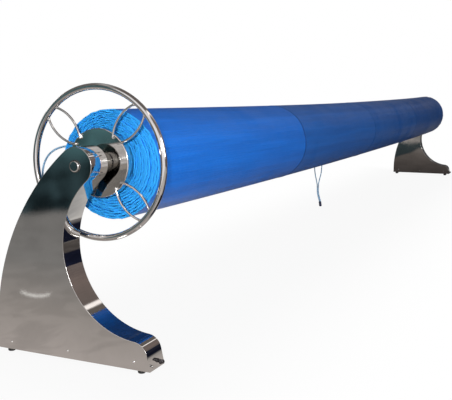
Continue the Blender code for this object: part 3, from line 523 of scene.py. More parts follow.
def new_finish(name, place="Object", metallic=0.0, specular=0.5):
    """A material, its tree, its shader's sockets and the coordinates that its pattern follows."""
    material = bpy.data.materials.new(name)
    material.use_nodes = True
    tree = material.node_tree
    sockets = tree.nodes["Principled BSDF"].inputs
    sockets["Metallic"].default_value = metallic
    sockets["Specular IOR Level"].default_value = specular
    return material, tree, sockets, node(tree, "ShaderNodeTexCoord").outputs[place]


def finished(tree, sockets, colour, roughness, normal):
    """Join what was worked out to the shader."""
    tree.links.new(colour, sockets["Base Color"])
    tree.links.new(roughness, sockets["Roughness"])
    tree.links.new(normal, sockets["Normal"])


def steel_finish(name, plain, marked, roughness, waves, grain, stretch):
    """Stainless steel: handling marks, grain and, on sheet, slow waves.

    Roughness is (clean, marked), waves (scale, depth) and grain (scale, depth).
    """
    material, tree, sockets, place = new_finish(name, metallic=1.0)
    mask = placed(tree, HANDLING_MARKS, place, Scale=5.0, Flecks=0.35)
    lines = placed(tree, FINE_GRAIN, place, Stretch=stretch, Scale=grain[0])
    dips = placed(tree, SHEET_WAVES, place, Scale=waves[0], Depth=waves[1]) if waves else None
    finished(tree, sockets, two_colours(tree, mask, plain, marked),
             value_range(tree, mask, *roughness), bumped(tree, lines, grain[1], dips))
    return material


def moulded_finish(name, plain, marked, roughness, grain_scale, grain_depth, specular=0.5):
    """Rubber or moulded plastic: a fine pebbled skin with paler, drier patches."""
    material, tree, sockets, place = new_finish(name, specular=specular)
    mask = placed(tree, HANDLING_MARKS, place, Scale=30.0, Flecks=0.8)
    skin = placed(tree, FINE_GRAIN, place, Scale=grain_scale)
    finished(tree, sockets, two_colours(tree, mask, plain, marked),
             value_range(tree, mask, *roughness), bumped(tree, skin, grain_depth))
    return material


def film_finish(name, plain, crease_shade_colour, edge, roughness):
    """Blue bubbled film. Its map is in metres: across the roll and along the winding.

    The colour is darkened in the creases as painted shade, changes a little from panel to panel and
    is paler at the film's two cut edges, where the light comes through it.
    """
    material, tree, sockets, place = new_finish(name, "UV", specular=0.12)
    crease_lines = placed(tree, FINE_GRAIN, place, Stretch=(0.35, 9.0, 1.0), Scale=3.0)
    crushed_by = placed(tree, FINE_GRAIN, place, Stretch=(2.0, 3.0, 1.0), Scale=14.0)
    bubbles = placed(tree, FILM_BUBBLES, place, Pitch=0.011)
    marks = placed(tree, HANDLING_MARKS, place, Scale=2.5, Flecks=0.25)
    across = node(tree, "ShaderNodeSeparateXYZ", None, {"Vector": place}).outputs["X"]
    from_middle = calc(tree, "ABSOLUTE", calc(tree, "SUBTRACT", across, COVER_HALF))
    at_edge = value_range(tree, from_middle, 0.0, 1.0, COVER_HALF - 0.010, COVER_HALF - 0.001)
    # Painted shade: the film's colour darkens along the crease lines
    crease_shade_mask = value_range(tree, crease_lines, 0.0, 1.0, 0.62, 0.40)
    colour = two_colours(tree, at_edge, two_colours(tree, crease_shade_mask, plain, crease_shade_colour), edge)
    stops = [(number / len(PANEL_TINTS), tint) for number, tint in enumerate(PANEL_TINTS)]
    tint = colour_stops(tree, calc(tree, "DIVIDE", across, 2 * COVER_HALF), stops, "CONSTANT")
    normal = bumped(tree, crease_lines, 0.005)
    normal = bumped(tree, crushed_by, 0.0012, normal)
    normal = bumped(tree, bubbles, 0.0006, normal)
    finished(tree, sockets, two_colours(tree, 1.0, colour, tint, "MULTIPLY"),
             value_range(tree, marks, *roughness), normal)
    return material


def cord_finish(name, plain, groove_shade):
    """Braided polypropylene cord: strands raised on the tube's own map, with painted shade in the grooves
    between them.
    """
    material, tree, sockets, place = new_finish(name, "UV", specular=0.35)
    braid = placed(tree, BRAIDED_STRANDS, place, Around=8.0, Pitch=0.006)
    fibres = placed(tree, FINE_GRAIN, place, Stretch=(40.0, 300.0, 1.0), Scale=4.0)
    # Painted shade: the darker colour fills the grooves between the strands
    colour = two_colours(tree, value_range(tree, braid, 1.0, 0.0), plain, groove_shade)
    finished(tree, sockets, colour, value_range(tree, fibres, 0.5, 0.85),
             bumped(tree, fibres, 0.0003, bumped(tree, braid, 0.0012)))
    return material


LEG_STEEL = steel_finish("polished_leg_sheet", (0.60, 0.59, 0.575), (0.55, 0.54, 0.525), (0.020, 0.060),
                         (2.6, 0.0035), (160.0, 0.00002), (1.0, 6.0, 0.6))
WHEEL_STEEL = steel_finish("polished_wheel_tube", (0.66, 0.65, 0.64), (0.60, 0.59, 0.58), (0.06, 0.13),
                           None, (220.0, 0.00002), (1.0, 1.0, 1.0))
HUB_STEEL = steel_finish("polished_turned_steel", (0.64, 0.63, 0.61), (0.58, 0.57, 0.55), (0.05, 0.12),
                         (5.0, 0.0012), (240.0, 0.00002), (8.0, 1.0, 1.0))
DULL_STEEL = steel_finish("folded_sheet_steel", (0.46, 0.46, 0.45), (0.36, 0.355, 0.35), (0.30, 0.48),
                          None, (150.0, 0.00012), (1.0, 8.0, 1.0))
SCREW_STEEL = steel_finish("screw_steel", (0.88, 0.87, 0.86), (0.70, 0.69, 0.68), (0.14, 0.30),
                           None, (900.0, 0.00004), (1.0, 1.0, 1.0))
TUBE_ALUMINIUM = steel_finish("drawn_aluminium", (0.72, 0.73, 0.74), (0.60, 0.61, 0.62), (0.24, 0.40),
                              None, (260.0, 0.00008), (0.04, 1.0, 1.0))
EYELET_METAL = steel_finish("pressed_eyelet", (0.80, 0.81, 0.82), (0.62, 0.63, 0.64), (0.18, 0.34),
                            None, (900.0, 0.00004), (1.0, 1.0, 1.0))
FOOT_RUBBER = moulded_finish("foot_rubber", (0.016, 0.016, 0.016), (0.045, 0.043, 0.040), (0.62, 0.86),
                             900.0, 0.0003)
GLAND_NYLON = moulded_finish("gland_nylon", (0.022, 0.019, 0.022), (0.05, 0.045, 0.05), (0.34, 0.55),
                             1200.0, 0.0001)
BUSH_NYLON = moulded_finish("bush_nylon", (0.022, 0.020, 0.019), (0.055, 0.05, 0.045), (0.34, 0.56),
                            1200.0, 0.0001)
CROWN_PLASTIC = moulded_finish("crown_plastic", (0.16, 0.165, 0.17), (0.24, 0.24, 0.24), (0.40, 0.62),
                               700.0, 0.0002)
SLEEVE_VINYL = moulded_finish("navy_end_sleeve", (0.010, 0.016, 0.075), (0.04, 0.05, 0.14), (0.32, 0.55),
                              800.0, 0.0002)
# The film's second colour is the painted shade in its creases
COVER_FILM = film_finish("blue_bubble_film", (0.014, 0.165, 0.66), (0.012, 0.135, 0.56),
                         (0.048, 0.41, 0.93), (0.34, 0.50))
SEAM_FILM = moulded_finish("welded_seam_film", (0.012, 0.085, 0.34), (0.014, 0.105, 0.42), (0.40, 0.55),
                           120.0, 0.0006, 0.1)
FAINT_SEAM_FILM = moulded_finish("faint_seam_film", (0.016, 0.115, 0.42), (0.020, 0.14, 0.48),
                                 (0.40, 0.55), 120.0, 0.0006, 0.1)
PATCH_FILM = moulded_finish("eyelet_patch", (0.30, 0.62, 0.90), (0.62, 0.80, 0.95), (0.35, 0.55),
                            160.0, 0.0005)
# The cord's second colour is the painted shade in the braid's grooves
CORD_ROPE = cord_finish("blue_braided_cord", (0.34, 0.62, 0.90), (0.17, 0.36, 0.60))


# Legs
def leg_centres():
    """Centres (Y, Z) of the front sweep, of the back sweep and of the toe's corner.

    The front sweep touches the round top from outside and the back sweep from inside. The
    toe's corner touches the front sweep and the leaning wall.
    """
    axis_height = AXIS[2]
    front_z = UNDERSIDE + TOE_HEIGHT + FRONT_SWEEP
    front_y = -math.sqrt((HUB_RADIUS + FRONT_SWEEP) ** 2 - (axis_height - front_z) ** 2)
    back_y = HEEL_REACH - BACK_SWEEP
    back_z = axis_height - math.sqrt((BACK_SWEEP - HUB_RADIUS) ** 2 - back_y ** 2)
    up_wall = Vector((math.sin(TOE_LEAN), math.cos(TOE_LEAN)))
    foot = Vector((-TOE_REACH + TOE_ROUND / math.cos(TOE_LEAN), UNDERSIDE))
    offset = foot - Vector((front_y, front_z))
    half = offset.dot(up_wall)
    reach = (FRONT_SWEEP + TOE_ROUND) ** 2 - offset.length_squared
    toe = foot + up_wall * (-half - math.sqrt(half ** 2 + reach))
    return (front_y, front_z), (back_y, back_z), (toe.x, toe.y)


def arc(centre, radius, start, end, steps):
    """Points (Y, Z) round a centre from one angle to another."""
    angle = np.linspace(start, end, steps + 1)
    return np.stack([centre[0] + radius * np.cos(angle), centre[1] + radius * np.sin(angle)], axis=1)


def leg_chain(inset):
    """The leg's side view from the heel's lower corner over the top to the toe's lower corner.

    The points are (Y from the axis, Z), drawn in by the inset. The number returned with them
    is that of the topmost point.
    """
    hub = (0.0, AXIS[2])
    front, back, toe = leg_centres()
    back_top = math.atan2(hub[1] - back[1], hub[0] - back[0])
    front_top = math.atan2(hub[1] - front[1], hub[0] - front[0])
    front_low = math.atan2(toe[1] - front[1], toe[0] - front[0])
    steps = LEG_STEPS
    rising = [np.array([[HEEL_REACH - inset, UNDERSIDE]]),
              arc(back, BACK_SWEEP - inset, 0.0, back_top, steps["back"]),
              arc(hub, HUB_RADIUS - inset, back_top, math.pi / 2, steps["hub"])[1:]]
    wall_end = -TOE_REACH + inset / math.cos(TOE_LEAN)
    falling = [arc(hub, HUB_RADIUS - inset, math.pi / 2, front_top + math.pi, steps["hub"])[1:],
               arc(front, FRONT_SWEEP + inset, front_top, front_low, steps["front"])[1:],
               arc(toe, TOE_ROUND - inset, front_low + math.pi, math.pi - TOE_LEAN, steps["toe"])[1:],
               np.array([[wall_end, UNDERSIDE]])]
    rising, falling = np.vstack(rising), np.vstack(falling)
    return np.vstack([rising, falling]), len(rising) - 1


def leg_mesh(name, low_x):
    """The open-bottomed leg: its outline carried across, with rounded weld edges and flat faces.

    Each flat face is two polygons that meet above and below the axle's hole.
    """
    turn = np.linspace(0, math.pi / 2, LEG_STEPS["edge"])
    across = LEG_EDGE * (1 - np.cos(turn))
    inset = LEG_EDGE * (1 - np.sin(turn))
    across = np.append(across, LEG_EDGE + EDGE_STRIP)
    inset = np.append(inset, 0.0)
    across = np.concatenate([across, LEG_THICKNESS - across[::-1]])
    inset = np.concatenate([inset, inset[::-1]])
    rows = []
    for x, drawn_in in zip(across, inset):
        chain, top = leg_chain(drawn_in)
        rows.append(np.column_stack([np.full(len(chain), x), chain]))
    points = np.stack(rows)
    count = points.shape[1]
    index = np.arange(len(rows) * count).reshape(len(rows), count)
    faces = grid_faces(index, False, False).tolist()
    vertices = [points.reshape(-1, 3)]
    made = len(rows) * count
    angle = round_angles(2 * LEG_STEPS["hole"], math.pi / 2)
    for row, x in ((0, 0.0), (len(rows) - 1, LEG_THICKNESS)):
        hole = np.column_stack([np.full(len(angle), x), HUB_HOLE * np.cos(angle),
                                AXIS[2] + HUB_HOLE * np.sin(angle)])
        foot = np.array([[x, FACE_SPLIT, UNDERSIDE]])
        vertices += [hole, foot]
        hole_index = np.arange(made, made + len(angle))
        foot_index = made + len(angle)
        made = foot_index + 1
        half = len(angle) // 2
        chain = index[row]
        front = list(chain[top:]) + [foot_index] + list(hole_index[:half + 1][::-1])
        back = list(chain[:top + 1]) + [hole_index[0]] + list(hole_index[half:][::-1]) + [foot_index]
        faces += [front, back]
    vertices = np.vstack(vertices) + np.array([low_x, AXIS[1], 0.0])
    mesh = bpy.data.meshes.new(name)
    mesh.from_pydata(vertices.tolist(), [], faces)
    closed_up(mesh)
    smooth = np.ones(len(mesh.polygons), bool)
    sides = np.empty(len(mesh.polygons), np.int32)
    mesh.polygons.foreach_get("loop_total", sides)
    smooth[sides > 4] = False
    mesh.polygons.foreach_set("use_smooth", smooth)
    return mesh


def toe_place(x):
    """A fitting's seat on the outside of the toe's leaning wall, at an X."""
    y = -TOE_REACH + TOE_FITTING_RISE * math.tan(TOE_LEAN)
    return np.array([x, AXIS[1] + y, UNDERSIDE + TOE_FITTING_RISE])


TOE_OUT = (0.0, -math.cos(TOE_LEAN), math.sin(TOE_LEAN))
BUSH = {"flange": 0.0033, "rim": 0.0230, "wall": 0.0186, "length": 0.030, "round": 0.0007}
SCREW_HEAD = {"radius": 0.0050, "height": 0.0026, "crown": 0.0032, "drop": 0.30, "shank": 0.0025,
              "grip": 0.012, "recess": 0.0013, "arm": 0.0021, "arm_width": 0.00055, "arm_fade": 0.0003,
              "round": 0.0006}
GLAND = {"collar": 0.0095, "collar_height": 0.0040, "nut": 0.0078, "height": 0.0170, "taper": 0.0025,
         "bore": 0.0032, "bore_depth": 0.0080, "stem": 0.0060, "stem_depth": 0.0130, "ribs": 14,
         "rib_depth": 0.0005, "rib_inset": 0.0006, "round": 0.0007}
FOOT = {"radius": 0.0150, "base": 0.0125, "edge": 0.0030, "waist": 0.0007, "stud": 0.0040,
        "nut": 0.0075, "nut_height": 0.0050, "round": 0.0012}


def screw_mesh(name, place, axis):
    """A pan head with a cross recess.

    Over the crown, height = top - recess * (inside an arm), where an arm is a strip as wide
    as named that fades out at the arm's length.
    """
    axis, side, up = side_ways(axis)
    s = SCREW_HEAD
    low = SEAT_GAP
    top = low + s["height"]
    across = np.linspace(0.0, s["crown"], 12)
    dome = np.stack([top - s["drop"] * s["height"] * (across / s["crown"]) ** 2, across], axis=1)
    outside = rounded([dome[-1], (low, s["radius"]), (low, s["shank"]), (-s["grip"], s["shank"]),
                       (-s["grip"], 0.0)], s["round"])
    profile = np.vstack([dome, outside[1:]])
    angle = round_angles(32)
    along = np.repeat(profile[:, :1], len(angle), axis=1)
    radius = profile[:, 1:]
    a, b = radius * np.cos(angle), radius * np.sin(angle)
    narrow = np.minimum(np.abs(a), np.abs(b))
    arm = (np.clip(1.6 - narrow / s["arm_width"], 0, 1)
           * np.clip((s["arm"] - radius) / s["arm_fade"] + 1, 0, 1))
    along[:len(dome)] -= s["recess"] * arm[:len(dome)]
    points = (np.array(place) + along[:, :, None] * axis + a[:, :, None] * side
              + b[:, :, None] * up)
    return grid_mesh(name, points)


def gland_mesh(name, place):
    """A blanked cable gland: flat collar, ribbed domed nut and its blind mouth."""
    g = GLAND
    top = SEAT_GAP + g["height"]
    shoulder = SEAT_GAP + g["collar_height"]
    profile = rounded([(top - g["bore_depth"], 0.0), (top - g["bore_depth"], g["bore"]),
                       (top, g["bore"]), (top, g["nut"] - g["taper"]),
                       (top - g["taper"], g["nut"]), (shoulder, g["nut"]),
                       (shoulder, g["collar"]), (SEAT_GAP, g["collar"]), (SEAT_GAP, g["stem"]),
                       (-g["stem_depth"], g["stem"]), (-g["stem_depth"], 0.0)], g["round"])
    return turned(name, profile, place, TOE_OUT, 84, g["ribs"], g["rib_depth"],
                  (shoulder + g["rib_inset"], top - g["taper"]))


def foot_mesh(name, x, y):
    """A rubber buffer with a slight waist, on its stud and nut."""
    f = FOOT
    seat = UNDERSIDE - SEAT_GAP
    nut_low = UNDERSIDE + LEG_SHEET + SEAT_GAP
    nut_high = nut_low + f["nut_height"]
    middle = (seat + f["edge"]) / 2
    profile = rounded([(nut_high, 0.0), (nut_high, f["nut"]), (nut_low, f["nut"]),
                       (nut_low, f["stud"]), (seat, f["stud"]), (seat, f["radius"]),
                       (middle, f["radius"] - f["waist"]), (f["edge"], f["radius"]),
                       (0.0, f["base"]), (0.0, 0.0)], f["round"])
    return turned(name, profile, (x, y, 0.0), (0, 0, 1), segments=48)


def bush_mesh(name, x, outward):
    """A flanged bush: the flange stands on the leg's face and the rest is inside it."""
    b = BUSH
    middle = 0.5 * b["flange"] - b["length"] / 2
    profile = rounded([(middle, AXLE_BORE), (b["flange"], AXLE_BORE), (b["flange"], b["rim"]),
                       (SEAT_GAP, b["rim"]), (SEAT_GAP, b["wall"]), (-b["length"], b["wall"]),
                       (-b["length"], AXLE_BORE), (middle, AXLE_BORE)], b["round"])
    return turned(name, profile, (x, AXIS[1], AXIS[2]), (outward, 0, 0), segments=72)


def dress_leg(side, low_x, faces):
    """One leg with its screws, gland, feet and bushes."""
    leg = show(leg_mesh(side + "_leg_polished", low_x), LEG_STEEL, "stand", side + "_leg_shell")
    sheet = leg.modifiers.new("sheet", "SOLIDIFY")
    sheet.thickness = LEG_SHEET
    sheet.offset = -1.0
    sheet.use_even_offset = True
    for face, x, outward in ((faces[0], low_x, -1), (faces[1], low_x + LEG_THICKNESS, 1)):
        for number, y in enumerate(FACE_SCREWS, 1):
            name = f"{side}_screw_{face}_{number}"
            place = (x, AXIS[1] + y, FACE_SCREW_HEIGHT)
            show(screw_mesh(name + "_head", place, (outward, 0, 0)), SCREW_STEEL, "stand", name)
        name = f"{side}_bush_{face}"
        show(bush_mesh(name + "_flanged", x, outward), BUSH_NYLON, "stand", name)
        foot_x = x - outward * FOOT_FROM_FACE
        for end, y in (("toe", FOOT_FROM_TOE - TOE_REACH), ("heel", HEEL_REACH - FOOT_FROM_HEEL)):
            name = f"{side}_foot_{end}_{face}"
            show(foot_mesh(name + "_buffer", foot_x, AXIS[1] + y), FOOT_RUBBER, "stand", name)
    name = side + "_toe_screw"
    # The toe screw takes the darker sheet finish: painted shade standing in for the dim reflection it
    # shows
    show(screw_mesh(name + "_head", toe_place(low_x + TOE_SCREW_INSET), TOE_OUT), DULL_STEEL,
         "stand", name)
    name = side + "_cable_gland"
    show(gland_mesh(name + "_ribbed", toe_place(low_x + GLAND_INSET)), GLAND_NYLON, "stand", name)


# Wheel, hub and tubes
def wheel_rim_mesh(name):
    """A tube bent into a ring: a circle carried round the axis."""
    round_it = round_angles(WHEEL_STEPS["round"])[:, None]
    section = round_angles(WHEEL_STEPS["section"])[None, :]
    radius = WHEEL_RADIUS + WHEEL_TUBE * np.cos(section)
    points = np.stack([WHEEL_PLANE + WHEEL_TUBE * np.sin(section) + 0 * round_it,
                       AXIS[1] + radius * np.cos(round_it), AXIS[2] + radius * np.sin(round_it)], axis=-1)
    return grid_mesh(name, points, loop=True)


def spoke_path(centre_angle, side):
    """A circular arc from the disc to the rim, bowed away from its pair's centre line."""
    start = np.array([SPOKE_START, SPOKE_START_HALF_WIDTH])
    end_out = math.sqrt((WHEEL_RADIUS - WHEEL_TUBE * SPOKE_SINK) ** 2 - SPOKE_END_HALF_WIDTH ** 2)
    end = np.array([end_out, SPOKE_END_HALF_WIDTH])
    chord = end - start
    half = np.linalg.norm(chord) / 2
    along = chord / (2 * half)
    normal = np.array([-along[1], along[0]])
    radius = (half ** 2 + SPOKE_BOW ** 2) / (2 * SPOKE_BOW)
    centre = start + chord / 2 + normal * (SPOKE_BOW - radius)
    angle = np.linspace(-1, 1, WHEEL_STEPS["spoke"])[:, None] * math.asin(half / radius)
    flat = centre + (along * np.sin(angle) + normal * np.cos(angle)) * radius
    out, across = flat[:, 0], flat[:, 1] * side
    y = out * math.cos(centre_angle) - across * math.sin(centre_angle)
    z = out * math.sin(centre_angle) + across * math.cos(centre_angle)
    return np.column_stack([np.full(len(flat), WHEEL_PLANE), AXIS[1] + y, AXIS[2] + z])


def dress_wheel():
    """The wheel's rim, and its spokes in pairs with thicker ends at the welds."""
    show(wheel_rim_mesh("handwheel_rim_polished"), WHEEL_STEEL, "roller", "handwheel_rim")
    for number in range(2 * SPOKE_PAIRS):
        pair, side = number // 2, (-1, 1)[number % 2]
        path = spoke_path(math.tau * (pair + 0.5) / SPOKE_PAIRS + WHEEL_TURN, side)
        lengths = path_lengths(path)
        from_end = np.minimum(lengths, lengths[-1] - lengths)
        radius = SPOKE_RADIUS + WELD_FLARE * np.exp(-(from_end / WELD_REACH) ** 2)
        radius[0] = SPOKE_RADIUS * SPOKE_TIP
        name = f"spoke_{number + 1}"
        show(tube(name + "_welded", path, radius), WHEEL_STEEL, "roller", name)


def dress_hub():
    """Axle, its collar, the dished disc and the parts at the tubes' mouths."""
    start, end = x_ends(AXLE_BOX)
    cap = start + CAP["depth"]
    axle = rounded([(end, 0.0), (end, AXLE_RADIUS), (cap, AXLE_RADIUS), (cap, CAP["radius"]),
                    (start + CAP["bevel"], CAP["radius"]), (start, CAP["face"]), (start, 0.0)],
                   HUB_ROUND["axle"])
    front, back = x_ends(DISC_BOX)
    middle, inside, lip = front + DISC_SHEET / 2, front + DISC_SHEET, DISC_RADIUS - DISC_SHEET
    disc = rounded([(middle, AXLE_BORE), (front, AXLE_BORE), (front, DISC_RADIUS),
                    (back, DISC_RADIUS), (back, lip), (inside, lip), (inside, AXLE_BORE),
                    (middle, AXLE_BORE)], HUB_ROUND["disc"])
    start, end = x_ends(HEAD_BOX)
    shoulder = FAR_LEG[0].x - HEAD_TO_LEG
    head = rounded([(end, 0.0), (end, AXLE_RADIUS), (shoulder, AXLE_RADIUS),
                    (shoulder, COLLAR_RADIUS), (start, COLLAR_RADIUS), (start, 0.0)], HUB_ROUND["head"])
    start, end = x_ends(CROWN_BOX)
    middle, mouth = (start + end) / 2, FAR_TUBE_BOX[1].x + SEAT_GAP
    crown = rounded([(middle, CROWN_BORE), (start, CROWN_BORE), (start, CROWN_NECK),
                     (mouth, CROWN_NECK), (mouth, TUBE_RADIUS), (end, TUBE_RADIUS),
                     (end, CROWN_BORE), (middle, CROWN_BORE)], HUB_ROUND["crown"])
    collar = ring_profile(*x_ends(COLLAR_BOX), AXLE_BORE, COLLAR_RADIUS, HUB_ROUND["collar"])
    near_tube, far_tube = (ring_profile(*x_ends(box), TUBE_BORE, TUBE_RADIUS, HUB_ROUND["tube"])
                           for box in (NEAR_TUBE_BOX, FAR_TUBE_BOX))
    for name, look, profile, segments, finish, body in (
            ("axle", "turned", axle, 96, HUB_STEEL, "roller"),
            ("axle_collar", "turned", collar, 128, HUB_STEEL, "roller"),
            ("hub_disc", "pressed", disc, 192, HUB_STEEL, "roller"),
            ("near_tube", "drawn", near_tube, 96, TUBE_ALUMINIUM, "roller"),
            ("far_tube", "drawn", far_tube, 96, TUBE_ALUMINIUM, "roller"),
            ("drive_head", "turned", head, 128, HUB_STEEL, "stand"),
            ("idler_crown", "moulded", crown, 96, CROWN_PLASTIC, "roller")):
        show(turned(f"{name}_{look}", profile, AXLE_LINE, (1, 0, 0), segments), finish, body, name)


# Wound cover
RANDOM = np.random.default_rng(7)
CREASE_WAVES = np.column_stack([RANDOM.uniform(9, 40, 9), RANDOM.uniform(-1.6, 1.6, 9),
                                RANDOM.uniform(0, math.tau, 9), RANDOM.uniform(0.4, 1.0, 9)])
RUFFLE_WAVES = np.column_stack([RANDOM.uniform(70, 190, 8), RANDOM.uniform(0, math.tau, 8),
                                RANDOM.uniform(0.4, 1.0, 8)])
NICK_WAVES = np.column_stack([RANDOM.uniform(40, 170, 9), RANDOM.uniform(0, math.tau, 9),
                              RANDOM.uniform(0.3, 1.0, 9)])


def winding_length(turn):
    """Film wound up to a turn: the sum of circles whose radius grows evenly."""
    pitch = (COVER_NEAR_RADIUS - COVER_BORE) / COVER_TURNS
    return math.tau * (COVER_BORE * turn + pitch * turn ** 2 / 2)


def sum_of_waves(length, waves):
    """Sines of a length with fixed wavelengths and phases, about 1 high together."""
    total = sum(height * np.sin(rate * length + phase) for rate, phase, height in waves)
    return total / np.sqrt((waves[:, 2] ** 2).sum())


def creases(x, turn):
    """Long folds that run nearly along the roll and drift round it."""
    length = winding_length(turn)
    total = sum(height * np.sin(rate * length + drift * x + phase)
                for rate, drift, phase, height in CREASE_WAVES)
    return total / np.sqrt((CREASE_WAVES[:, 3] ** 2).sum())


def edge_shift(turn):
    """How far a turn's edge stands out at the roll's ends."""
    wander = EDGE_WANDER * np.sin(math.tau * turn / WANDER_TURNS)
    step = TELESCOPE * np.clip((turn - TELESCOPE_TURN) / TELESCOPE_SPAN, 0, 1)
    return wander - step + EDGE_NICKS * sum_of_waves(winding_length(turn), NICK_WAVES)


def winding_sizes(x):
    """The roll's outside radius and how far its outermost turn hangs, at an X."""
    share = (x + COVER_HALF) / (2 * COVER_HALF)
    outside = COVER_NEAR_RADIUS + (COVER_FAR_RADIUS - COVER_NEAR_RADIUS) * share
    hang = (HANG_NEAR * (1 - share) * (1 - 2 * share) + HANG_MIDDLE * 4 * share * (1 - share)
            + HANG_FAR * share * (2 * share - 1))
    return outside, hang


def film_point(x, turn, lift, from_edge=FAR_FROM_EDGE):
    """A point of the winding: radius = bore + share of the roll's thickness by turn + lift.

    Outer turns hang lower by the square of their share, which leaves more room for the film
    below the roll and less above it. Creases and, near the edges, ruffles are added.
    """
    outside, hang = winding_sizes(x)
    out = turn / COVER_TURNS
    angle = LIP_ANGLE + math.tau * (COVER_TURNS - turn)
    room = 1 - 2 * hang * out * np.sin(angle) / (outside - COVER_BORE)
    radius = COVER_BORE + (outside - COVER_BORE) * out + lift * room
    radius = radius + CREASE * out * creases(x, turn) * (1 - np.exp(-from_edge / CREASE_REACH))
    fade = np.exp(-from_edge / RUFFLE_REACH)
    radius = radius + RUFFLE_DEPTH * fade * sum_of_waves(winding_length(turn), RUFFLE_WAVES)
    return np.stack([x + 0 * turn, AXIS[1] + radius * np.cos(angle),
                     AXIS[2] + radius * np.sin(angle) - hang * out ** 2], axis=-1)


def cover_mesh(name):
    """The film as one wound strip with its thickness: its section carried along the spiral.

    The section runs over the outer face from the near edge to the far one and back over the
    inner face. Its stations are distances from the near edge, closer together where the film
    ruffles. A groove along each edge parts the film's two layers.
    """
    width = 2 * COVER_HALF
    near = np.array([0.0022, 0.006, 0.014, 0.028, 0.055, 0.11, 0.20, 0.32])
    middle = np.linspace(0.52, width - 0.40, 28)
    far = width - np.array([0.22, 0.11, 0.05, 0.022, 0.008, 0.0022])
    outer = np.concatenate([near, middle, far])
    inner = np.array([0.0022, 0.012, 0.04, 0.13, 0.6, 1.9, 3.5, 5.1, 6.4, 6.93, width - 0.03,
                      width - 0.0022])
    edge = np.array([0.0008, 0.0, 0.0022, 0.0, 0.0008])
    edge_lift = -FILM * np.array([0.07, 0.25, 0.50, 0.75, 0.93])
    station = np.concatenate([outer, width - edge, inner[::-1], edge[::-1]])
    lift = np.concatenate([0 * outer, edge_lift, 0 * inner - FILM, edge_lift[::-1]])
    total = winding_length(COVER_TURNS) - winding_length(FIRST_TURN)
    fine_turns = np.linspace(FIRST_TURN, COVER_TURNS, 4000)
    lengths = winding_length(fine_turns)
    wanted = np.linspace(lengths[0], lengths[-1], round(total / COLUMN_SPACING))
    turn = np.interp(wanted, lengths, fine_turns)[None, :]
    shift = edge_shift(turn)
    share = (station / width)[:, None]
    x = (-COVER_HALF - shift) * (1 - share) + (COVER_HALF + shift) * share
    from_edge = np.minimum(station, width - station)[:, None]
    points = film_point(x, turn, lift[:, None], from_edge)
    across = np.append(station, station[0])
    uv = np.stack(np.broadcast_arrays(across[:, None], wanted[None, :]), axis=-1)
    return grid_mesh(name, points, ring=False, loop=True, uv=uv, caps=True)


def seam_mesh(name, middle):
    """A welded lap round the outermost turn: a low band with sloping sides."""
    offset, lift = np.array(SEAM_PROFILE).T[:, :, None]
    start, end = SEAM_TURNS
    turn = np.linspace(COVER_TURNS - start, COVER_TURNS - end, 220)[None, :]
    points = film_point(middle + SEAM_HALF_WIDTH * offset, turn, lift)
    return grid_mesh(name, points, ring=False, loop=True, caps=True)


def patch_mesh(name, middle):
    """A stiffening patch under an eyelet, laid on the outermost turn by its free edge."""
    x = middle + np.linspace(-PATCH_HALF_WIDTH, PATCH_HALF_WIDTH, 9)[:, None]
    turn = COVER_TURNS - np.linspace(*PATCH_TURNS, 11)[None, :]
    return grid_mesh(name, film_point(x, turn, PATCH_LIFT), ring=False)


# Pull cords
def cord_seat(x):
    """Where a cord leaves the film, half a facet above its free edge, and its way out."""
    low = cad_winding_point(x, COVER_TURNS, 1)
    high = cad_winding_point(x, COVER_TURNS - 1 / CAD_COLUMNS, 2)
    along = high - low
    outward = np.array([0.0, along[2], -along[1]])
    outward /= np.linalg.norm(outward)
    return (low + high) / 2 + outward * SEAT_GAP, outward


def cad_winding_point(x, turn, column):
    """A corner of the model's faceted winding, its columns counted from +Y."""
    outside, hang = winding_sizes(x)
    radius = COVER_BORE + (outside - COVER_BORE) * turn / COVER_TURNS
    angle = math.tau * column / CAD_COLUMNS
    return np.array([x, AXIS[1] + radius * math.cos(angle),
                     AXIS[2] + radius * math.sin(angle) - hang * (turn / COVER_TURNS) ** 2])


def smooth_route(points, spacing):
    """Evenly spaced points on a smooth curve through the given ones, with straight ends."""
    p = np.array(points, float)
    a, b, c, d = p[:-3], p[1:-2], p[2:-1], p[3:]
    t = np.linspace(0, 1, 20, endpoint=False)[None, :, None]
    a, b, c, d = (q[:, None] for q in (a, b, c, d))
    curve = 0.5 * (2 * b + (c - a) * t + (2 * a - 5 * b + 4 * c - d) * t ** 2
                   + (3 * b - a - 3 * c + d) * t ** 3)
    fine = np.vstack([p[:1], curve.reshape(-1, 3), p[-2:]])
    lengths = path_lengths(fine)
    wanted = np.linspace(0, lengths[-1], round(lengths[-1] / spacing) + 1)
    return np.column_stack([np.interp(wanted, lengths, fine[:, k]) for k in range(3)])


def cord_path(route, end_way):
    """The cord's line in the model's frame, from the film through the chosen points."""
    start, outward = cord_seat(route[0][0])
    route = np.array(route) + np.array(AXLE_LINE)
    end = route[-1] + end_way * CORD_DIAMETER
    points = np.vstack([start, start + outward * CORD_DIAMETER, route, end])
    return smooth_route(points, CORD_SPACING)


def eyelet_mesh(name, x):
    """A pressed ring round the cord where it leaves the film."""
    return turned(name, rounded(EYELET_PROFILE, EYELET_ROUND), *cord_seat(x), segments=48)


def ferrule_mesh(name, ends, along, radius):
    """A sleeve shrunk over the cord ends, with a rounded tip and a slight waist."""
    s = SLEEVE
    low, waist, high = (FERRULE_LENGTH * share for share in s["waist_span"])
    place = sum(ends) / len(ends)
    reach = max((end - place) @ along for end in ends)
    start = place + along * (reach + SEAT_GAP)
    profile = rounded([(FERRULE_LENGTH, 0.0), (FERRULE_LENGTH, radius - s["tip"]), (high, radius),
                       (waist, radius * s["waist"]), (low, radius), (0.0, radius * s["mouth"]),
                       (0.0, 0.0)], s["round"])
    return turned(name, profile, start, along, segments=40)


